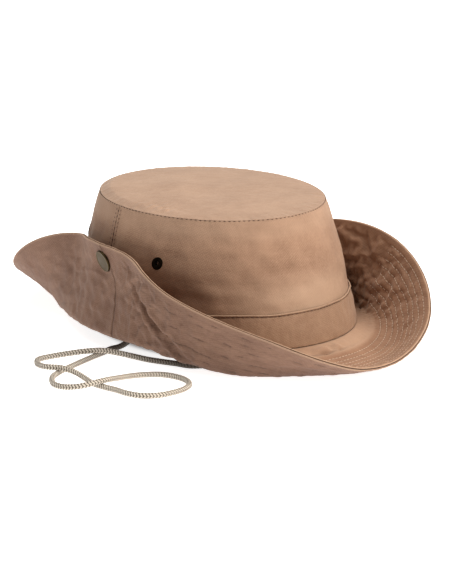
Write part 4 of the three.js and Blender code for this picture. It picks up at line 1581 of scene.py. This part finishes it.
    def quilting(self, angle: Array, share: Array, ply: Ply) -> Array:
        """How far one ply's face stands out: a pillow between rows by a sine, puckered along each channel.

        Args:
            angle: Degrees round the hat.
            share: Share of the brim's width.
            ply: Which ply.

        Returns:
            Distances in mm.
        """
        upper = ply is Ply.UPPER
        count = self.count(share)
        inside = count <= self.rows
        pillow = np.where(inside, np.abs(np.sin(np.pi * count)) ** 0.75, smooth((count - self.rows) / 0.4))
        along, across = self.places(angle, share)
        pucker = self.pucker.at(along, np.floor(count) * 41.3 + (0.0 if upper else 17.0))
        caught = np.where(inside, self.caught(angle, count, ply), 1.0)
        puffed = self.pillow * (1.0 if upper else 0.6)
        face = puffed * (1 + 0.32 * pucker * inside * smooth(caught / 0.4)) * (1 - (1 - pillow) * caught)
        gone = self.seam_distance(angle, share)
        if upper:
            rolled = self.fold_depth * (bell((across - self.roll) / 2.6) - bell((across - self.tuck) / 0.9))
            face = face + self.tucked(angle) * (0.75 + 0.4 * self.crease.at(along, 0.0)) * rolled
            loose = self.free(angle, share) * smooth(share / 0.14) * smooth((1 - share) / 0.2)
            loose = 0.85 * loose * near(angle, 84, 21)
            face = face + loose * np.abs(self.facets.at(along, across))
        return face + 0.28 * smooth((3.2 - gone) / 1.4) - 0.75 * bell(gone / 0.5)

    def tucked(self, angle: Array) -> Array:
        """How much of the roll and the tuck under the band shows, from 0 to 1: most at the front."""
        return near(angle, 8, 18)

    def face(self, angle: Array, share: Array, ply: Ply, depth: Array = 0.0,
             shown: Array = 1.0) -> tuple[Array, Array]:
        """One ply's outer face.

        Args:
            angle: Degrees round the hat.
            share: Share of the brim's width.
            ply: Which ply.
            depth: How far below the face in mm the points are wanted.
            shown: How much of the quilting shows there, from 0 to 1.

        Returns:
            Points in mm, and the way out of the face.
        """
        lower, normal = self.form.brim_lower(angle, share), self.form.brim_normal(angle, share)
        crumple = self.crumple(angle, share, lower[..., 2] + self.form.foot_height)
        quilt = self.quilting(angle, share, ply) * shown - depth
        if ply is Ply.UPPER:
            return lower + normal * (self.thickness + crumple + quilt)[..., None], normal
        return lower + normal * (crumple - quilt)[..., None], -normal

    def section(self) -> tuple[Array, Array, Array]:
        """One ply's closed section: its face from root to hem, the rolled hem, and its hidden face.

        Returns:
            Shares of the width, depths below the face in mm, and 1 where the quilting shows.
        """
        width, radius = self.form.brim_width, self.ply / 2
        last = 1 - radius / width
        root = np.linspace(-self.seam_allowance, width - self.rows * self.form.row_pitch - 0.6, 23) / width
        count = (np.arange(self.rows)[:, None] + [0.0, 0.1, 0.26, 0.5, 0.74, 0.9]).ravel()
        face = np.concatenate([root, 1 - (self.rows - count) * self.form.row_pitch / width])
        face = face[face < last]
        turn = np.linspace(0, np.pi, 8)
        hidden = np.linspace(last - 0.03, -self.seam_allowance / width, 12)
        share = np.concatenate([face, last + radius / width * np.sin(turn), hidden])
        depth = np.concatenate([0 * face, radius - radius * np.cos(turn), 0 * hidden + self.ply])
        shown = np.concatenate([0 * face + 1, 0.5 + 0.5 * np.cos(turn), 0 * hidden])
        return share, depth, shown

    def lay_ply(self, ply: Ply, material: bpy.types.Material, *nodes: str) -> None:
        """Makes one ply as a closed cloth, pressed flat where it rests.

        Args:
            ply: Which ply.
            material: Its finish.
            *nodes: The CAD nodes that it stands for.
        """
        under = ply is Ply.UNDER
        share, depth, shown = (part[None] for part in self.section())
        plain = np.linspace(0, 360, 900, endpoint=False)
        fine = np.linspace(-self.fine_reach, self.fine_reach, 50)
        angle = np.unique(np.concatenate([plain, *(seam + fine for seam in self.fine_at)]))[:, None]
        grid = self.form.place(self.face(angle, share, ply, depth, shown)[0])
        grid[..., 2] = np.maximum(grid[..., 2], depth * MM if under else 0.0)
        count, across = self.count(share), share * self.form.brim_width
        aside = np.abs(count - np.round(count)) * self.form.row_pitch
        # Painted shade along the quilting rows and down the side seams.
        row = np.where((count > 0.5) & (count < self.rows + 0.4), bell(aside / 0.42), 0.0)
        seam = bell(self.seam_distance(angle, share) / 0.6) * (0.9 if under else 0.5)
        painted_shade = (0.45 if under else 0.5) * row * self.caught(angle, count, ply) + seam
        # Paler hem edges: wear on the fold, and painted highlight.
        wear_and_painted_light = bell((1 - share) * self.form.brim_width / 0.6) * (shown > 0.2) * 0.6 + 0 * angle
        if under:
            # Painted shade on the under ply at the left front.
            painted_shade = painted_shade + 0.15 * near(angle, 314, 20)
        else:
            turned_to = np.mod(angle, 360.0)
            # Painted shade on the right side, where the brim curls up, and in the pocket beside the band's
            # end.
            folded = smooth((turned_to - 40.0) / 30.0) * smooth((150.0 - turned_to) / 20.0)
            pocket = near(angle, 80, 18) * smooth((15.0 - across) / 8.0)
            # Painted shade in the tuck under the band.
            painted_shade = painted_shade + self.tucked(angle) * bell((across - self.tuck) / 0.8)
            painted_shade = painted_shade + 0.25 * folded + 0.05 * pocket
            # Painted light on the shelf at the front right of the root, which faces up.
            wear_and_painted_light = wear_and_painted_light + 0.55 * near(angle, 26, 34) * smooth((14.0 - across) / 4.0) * shown
        # Painted shade on the hidden face and the inner side of the hem's roll, between the plies.
        painted_shade = np.clip(painted_shade * shown + 0.9 * smooth((depth - 0.55) / 0.15), 0, 1)
        uv = flat_uv(self.form.girth(closed_rows(angle[:, 0])), np.append(across, across[0, 0])[None])
        piece = lay_surface(f"brim_{ply.value}_ply", grid, uv, {"painted_shade": painted_shade, "wear_and_painted_light": wear_and_painted_light}, section=True)
        hand_over(piece, Slot.BRIM, material, *nodes)

    def sew_rows(self, ply: Ply, material: bpy.types.Material) -> None:
        """Sews one ply's rows, each at one distance from the hem, but for stitches sunk out of sight.

        Args:
            ply: Which ply.
            material: The thread's finish.
        """
        length, pitch = self.stitch
        thick, sink = (self.thread, 0.0) if ply is Ply.UPPER else (self.thread * 0.8, 0.3)
        angle = np.linspace(0, 360, 1300)
        runs = []
        for k in range(1, self.rows + 1):
            share = np.full(angle.shape, 1 - k * self.form.row_pitch / self.form.brim_width)
            line, up = self.face(angle, share, ply)
            shown = smooth(self.caught(angle, np.full(angle.shape, float(k)), ply) / 0.75)[:, None]
            runs.append(run_on(self.form, line - self.sunk * (1 - shown) * up, up * shown, pitch))
        spots, ways, ups = (np.concatenate(parts) for parts in zip(*runs))
        clear = (spots[:, 2] > 2.2 * self.thread * MM) & (np.linalg.norm(ups, axis=1) > 0.1)
        row = sew(f"quilting_{ply.value}", spots[clear], ways[clear], ups[clear], length, thick, sink)
        hand_over(row, Slot.BRIM, material)

    def build(self) -> None:
        """Lets the cloth buckle, then makes both plies and their quilting."""
        self.buckles = Buckles(self.form)
        self.buckles.simulate()
        self.lay_ply(Ply.UPPER, self.upper_finish.material(), "brim")
        self.lay_ply(Ply.UNDER, self.under_finish.material())
        self.sew_rows(Ply.UPPER, self.upper_thread.material())
        self.sew_rows(Ply.UNDER, self.under_thread.material())


@dataclass
class Eyelets:
    """Four rolled metal eyelets through the crown wall, two beside each side seam.

    Attributes:
        crown: The crown that they go through.
        outer: The flange's radius.
        bore: The open bore's radius.
        barrel: The barrel's radius.
        rise: The rolled flange's height.
        sink: How far the flange is pressed into the cloth.
        finish: The metal's finish.
    """

    crown: Crown
    outer: float = 4.4
    bore: float = 1.4
    barrel: float = 2.4
    rise: float = 0.65
    sink: float = 0.1
    finish: AntiqueBrass = AntiqueBrass("antique_brass_eyelet", "#0e0b08", "#2b241a", 0.55)

    def build(self) -> None:
        """Makes the eyelets: the profile is a closed loop of a rolled flange, a barrel and a spread end."""
        metal, crown = self.finish.material(), self.crown
        loop = rounded([
            (self.bore, 0.2), (self.bore + 0.15, self.rise * 0.75), (self.bore + 0.7, self.rise),
            (self.outer - 1.0, self.rise * 0.95), (self.outer - 0.3, self.rise * 0.6), (self.outer, 0.1),
            (self.outer - 0.25, -self.sink), (self.barrel, -self.sink), (self.barrel, -1.9),
            (self.outer - 0.4, -1.95), (self.outer - 0.5, -2.35), (self.bore + 0.3, -2.3), (self.bore, -1.8),
            (self.bore, 0.2),
        ])[:-1]
        wear_and_painted_light = np.clip((loop[:, 1] - 0.45) / 0.4, 0, 1)
        for place, degrees in zip(("left_front", "right_front", "right_rear", "left_rear"), crown.eyelets):
            angle, height = np.array(degrees), np.array(crown.eyelet_height)
            foot = crown.form.place(crown.wall_face(angle, height))
            ring = turned(f"eyelet_ring_{place}", loop, foot, crown.form.wall_normal(angle, height),
                          ring=True, wear_and_painted_light=wear_and_painted_light)
            hand_over(ring, Slot.EYELET, metal, f"eyelet_{place}")


@dataclass
class Snaps:
    """The snaps that hold the brim's sides up: a plain cap outside, a socket and a stud behind the brim.

    Attributes:
        brim: The brim that they hold.
        facing: The way that each cap faces, as the cloth under it does.
        seat: How far each cap is seated above the cloth under its middle, which curves most at the right.
        cap: The cap's radius.
        rise: The cap's height.
        body: The socket's radius.
        stud: The stud's radius.
        finish: The metal's finish.
    """

    brim: Brim
    facing: tuple[tuple[float, float, float], ...] = ((-0.95, 0.04, -0.32), (0.975, -0.214, -0.065))
    seat: tuple[float, float] = (0.0, 0.5)
    cap: float = 7.5
    rise: float = 1.5
    body: float = 5.0
    stud: float = 3.5
    finish: AntiqueBrass = AntiqueBrass("antique_brass_snap", "#3e3321", "#605138", 0.5)

    def build(self) -> None:
        """Makes each cap, stud and socket as turned pieces."""
        metal = self.finish.material()
        form, top, wide, stud = self.brim.form, self.rise, self.cap, self.stud
        cap = rounded([(0, -0.4), (wide - 0.9, -0.4), (wide - 0.1, -0.2), (wide, top * 0.55),
                       (wide - 0.35, top * 0.95), (wide - 0.9, top), (wide - 1.3, top * 0.86),
                       (wide - 2.0, top * 0.84), (wide * 0.4, top * 0.98), (0, top)])
        wear_and_painted_light = np.clip((cap[:, 1] / top - 0.8) * 5, 0, 1) * np.clip((cap[:, 0] - 5.6) * 0.8, 0, 1)
        for side, degrees, facing, seat in zip(Side, form.snaps, self.facing, self.seat):
            angle, share = np.array(degrees), np.array(form.snap_share)
            outer, inner = (self.brim.face(angle, share, ply)[0] for ply in (Ply.UNDER, Ply.UPPER))
            outward, inner = unit(np.array(facing)), form.place(inner)
            height = np.array(form.middle_of(f"snap_base_{side.value}")[1][2])
            wall_out = form.wall_normal(angle, height)
            foot = form.place(form.oval(WALL, angle, height, 0.4))
            room = float((inner - foot) @ wall_out) / MM - 0.9
            post = rounded([(0, 0), (stud + 1, 0), (stud + 1, 0.7), (stud, 1.0),
                            (stud - 0.6, room * 0.5), (stud, room * 0.62), (0, room * 0.62)])
            gap = max(room * 0.36, 1.2)
            socket = rounded([(0, 0), (self.body, 0), (self.body, gap * 0.5), (self.body - 0.5, gap * 0.8),
                              (stud + 0.3, gap), (0, gap)])
            cap_place = form.place(outer + seat * outward)
            for name, profile, place, axis, steps, worn, nodes in (
                    ("button", cap, cap_place, outward, 64, wear_and_painted_light, ("cap",)),
                    ("stud", post, foot, wall_out, 40, 0.0, ("base",)),
                    ("socket", socket, inner, -outward, 40, 0.0, ())):
                piece = turned(f"snap_{name}_{side.value}", profile, place, axis, steps, wear_and_painted_light=worn)
                hand_over(piece, Slot.SNAP, metal, *(f"snap_{node}_{side.value}" for node in nodes))


@dataclass
class Studio:
    """A pale floor, soft lamps and the camera.

    Attributes:
        azimuth: The camera's turn round the hat from the front.
        elevation: The camera's height above the level, in degrees.
        distance: From the camera to the point it looks at, in metres.
        lens: Its focal length in mm on a 36 mm sensor.
        shift: How far the point it looks at lies right of and above the hat's middle, in mm.
        middle: The hat's middle in mm.
        glow: How brightly the floor is lit from below, all round the hat but not under its crown.
        glow_from: Where that light sets in and where it is full, in metres from the middle to the front.
        glow_narrow: How many times narrower than long the unlit oval is.
        floor_size: Half the floor's side in metres.
        lamps: Each lamp's name, place in metres, size in metres, power in watts and colour.
        sky: How brightly the room round the hat shines.
    """

    azimuth: float = -33.0
    elevation: float = 14.4
    distance: float = 2.6
    lens: float = 244.6
    shift: tuple[float, float] = (6.6, -24.2)
    middle: tuple[float, float, float] = (-9.5, -1.0, 49.0)
    glow: float = 0.85
    glow_from: tuple[float, float] = (0.087, 0.1005)
    glow_narrow: float = 1.17
    floor_size: float = 4.0
    lamps: tuple[tuple[str, tuple[float, float, float], float, float, str], ...] = (
        ("top_lamp", (0.1, 0.15, 1.7), 1.6, 31.0, "#fffcf8"),
        ("side_lamp", (1.1, -1.45, 1.05), 0.9, 30.0, "#fff4e8"),
    )
    sky: float = 0.23

    def camera(self) -> None:
        """Places the camera, looking from its azimuth and elevation at the hat's middle."""
        a, e = np.radians(self.azimuth), np.radians(self.elevation)
        back = np.array([np.sin(a) * np.cos(e), -np.cos(a) * np.cos(e), np.sin(e)])
        right = np.array([np.cos(a), np.sin(a), 0.0])
        up = np.cross(back, right)
        aim = np.array(self.middle) * MM + (right * self.shift[0] + up * self.shift[1]) * MM
        data = bpy.data.cameras.new("camera")
        data.lens, data.sensor_width = self.lens, 36.0
        data.clip_start, data.clip_end = 0.1, 50.0
        camera = link("camera", data)
        columns = np.stack([right, up, back, aim + back * self.distance], axis=1)
        camera.matrix_world = Matrix([*columns.tolist(), [0, 0, 0, 1]])
        bpy.context.scene.camera = camera

    def lamp(self, name: str, place: tuple[float, float, float], size: float, power: float,
             tone: str) -> None:
        """Hangs one square soft lamp that points at the hat.

        Args:
            name: The lamp's name.
            place: Where it hangs, in metres.
            size: Its side in metres.
            power: Its power in watts.
            tone: Its colour.
        """
        data = bpy.data.lights.new(name, "AREA")
        data.shape, data.size, data.energy = "SQUARE", size, power
        data.color = linear(tone)[:3]
        lamp = link(name, data)
        lamp.location = place
        aim = Vector((0, 0, 0.04)) - Vector(place)
        lamp.rotation_euler = aim.to_track_quat("-Z", "Y").to_euler()

    def floor(self) -> None:
        """Lays the pale floor, matt white card with a faint grain, lit from below but for an oval."""
        size = self.floor_size
        mesh = bpy.data.meshes.new("floor")
        mesh.from_pydata([(-size, -size, 0), (size, -size, 0), (-size, size, 0), (size, size, 0)], [],
                         [(0, 1, 3, 2)])
        floor = link("floor", mesh)
        mix = Recipe("white_card")
        space = mix.space()
        oval = mix.add("Mapping", 0, {"Vector": space, "Scale": (self.glow_narrow, 1.0, 1.0)})
        gone = mix.add("VectorMath", "Value", {0: oval}, operation="LENGTH")
        lit = mix.add("MapRange", "Result", {
            "Value": gone, "From Min": self.glow_from[0], "From Max": self.glow_from[1], "To Min": 0.0,
            "To Max": self.glow}, interpolation_type="SMOOTHSTEP")
        mix.fill(mix.shader, {"Base Color": mix.tint(mix.noise(space, 900.0), "#f4f4f4", "#f8f8f8"),
                              "Roughness": 0.95, "Emission Color": linear("#ffffff"),
                              "Emission Strength": lit})
        mesh.materials.append(mix.material)

    def build(self) -> None:
        """Sets up everything but the camera."""
        self.floor()
        for lamp in self.lamps:
            self.lamp(*lamp)
        world = bpy.data.worlds.new("pale_room")
        world.use_nodes = True
        sky = world.node_tree.nodes["Background"]
        sky.inputs["Color"].default_value = linear("#ffffff")
        sky.inputs["Strength"].default_value = self.sky
        bpy.context.scene.world = world
        bpy.context.scene.view_settings.view_transform = "Standard"


def main() -> None:
    """Builds the camera, the cord, the hat's sub-assemblies and the studio, in that order."""
    logging.basicConfig(level=logging.INFO, format="%(name)s: %(message)s")
    form = HatForm()
    studio = Studio()
    studio.camera()
    cord = ChinCord(form)
    cord.build()
    crown = Crown(form)
    crown.build()
    cord.tabs(bpy.data.materials[crown.finish.name], bpy.data.materials[crown.sewing.name])
    Band(form).build()
    brim = Brim(form)
    brim.build()
    Eyelets(crown).build()
    Snaps(brim).build()
    studio.build()


if __name__ == "__main__":
    main()
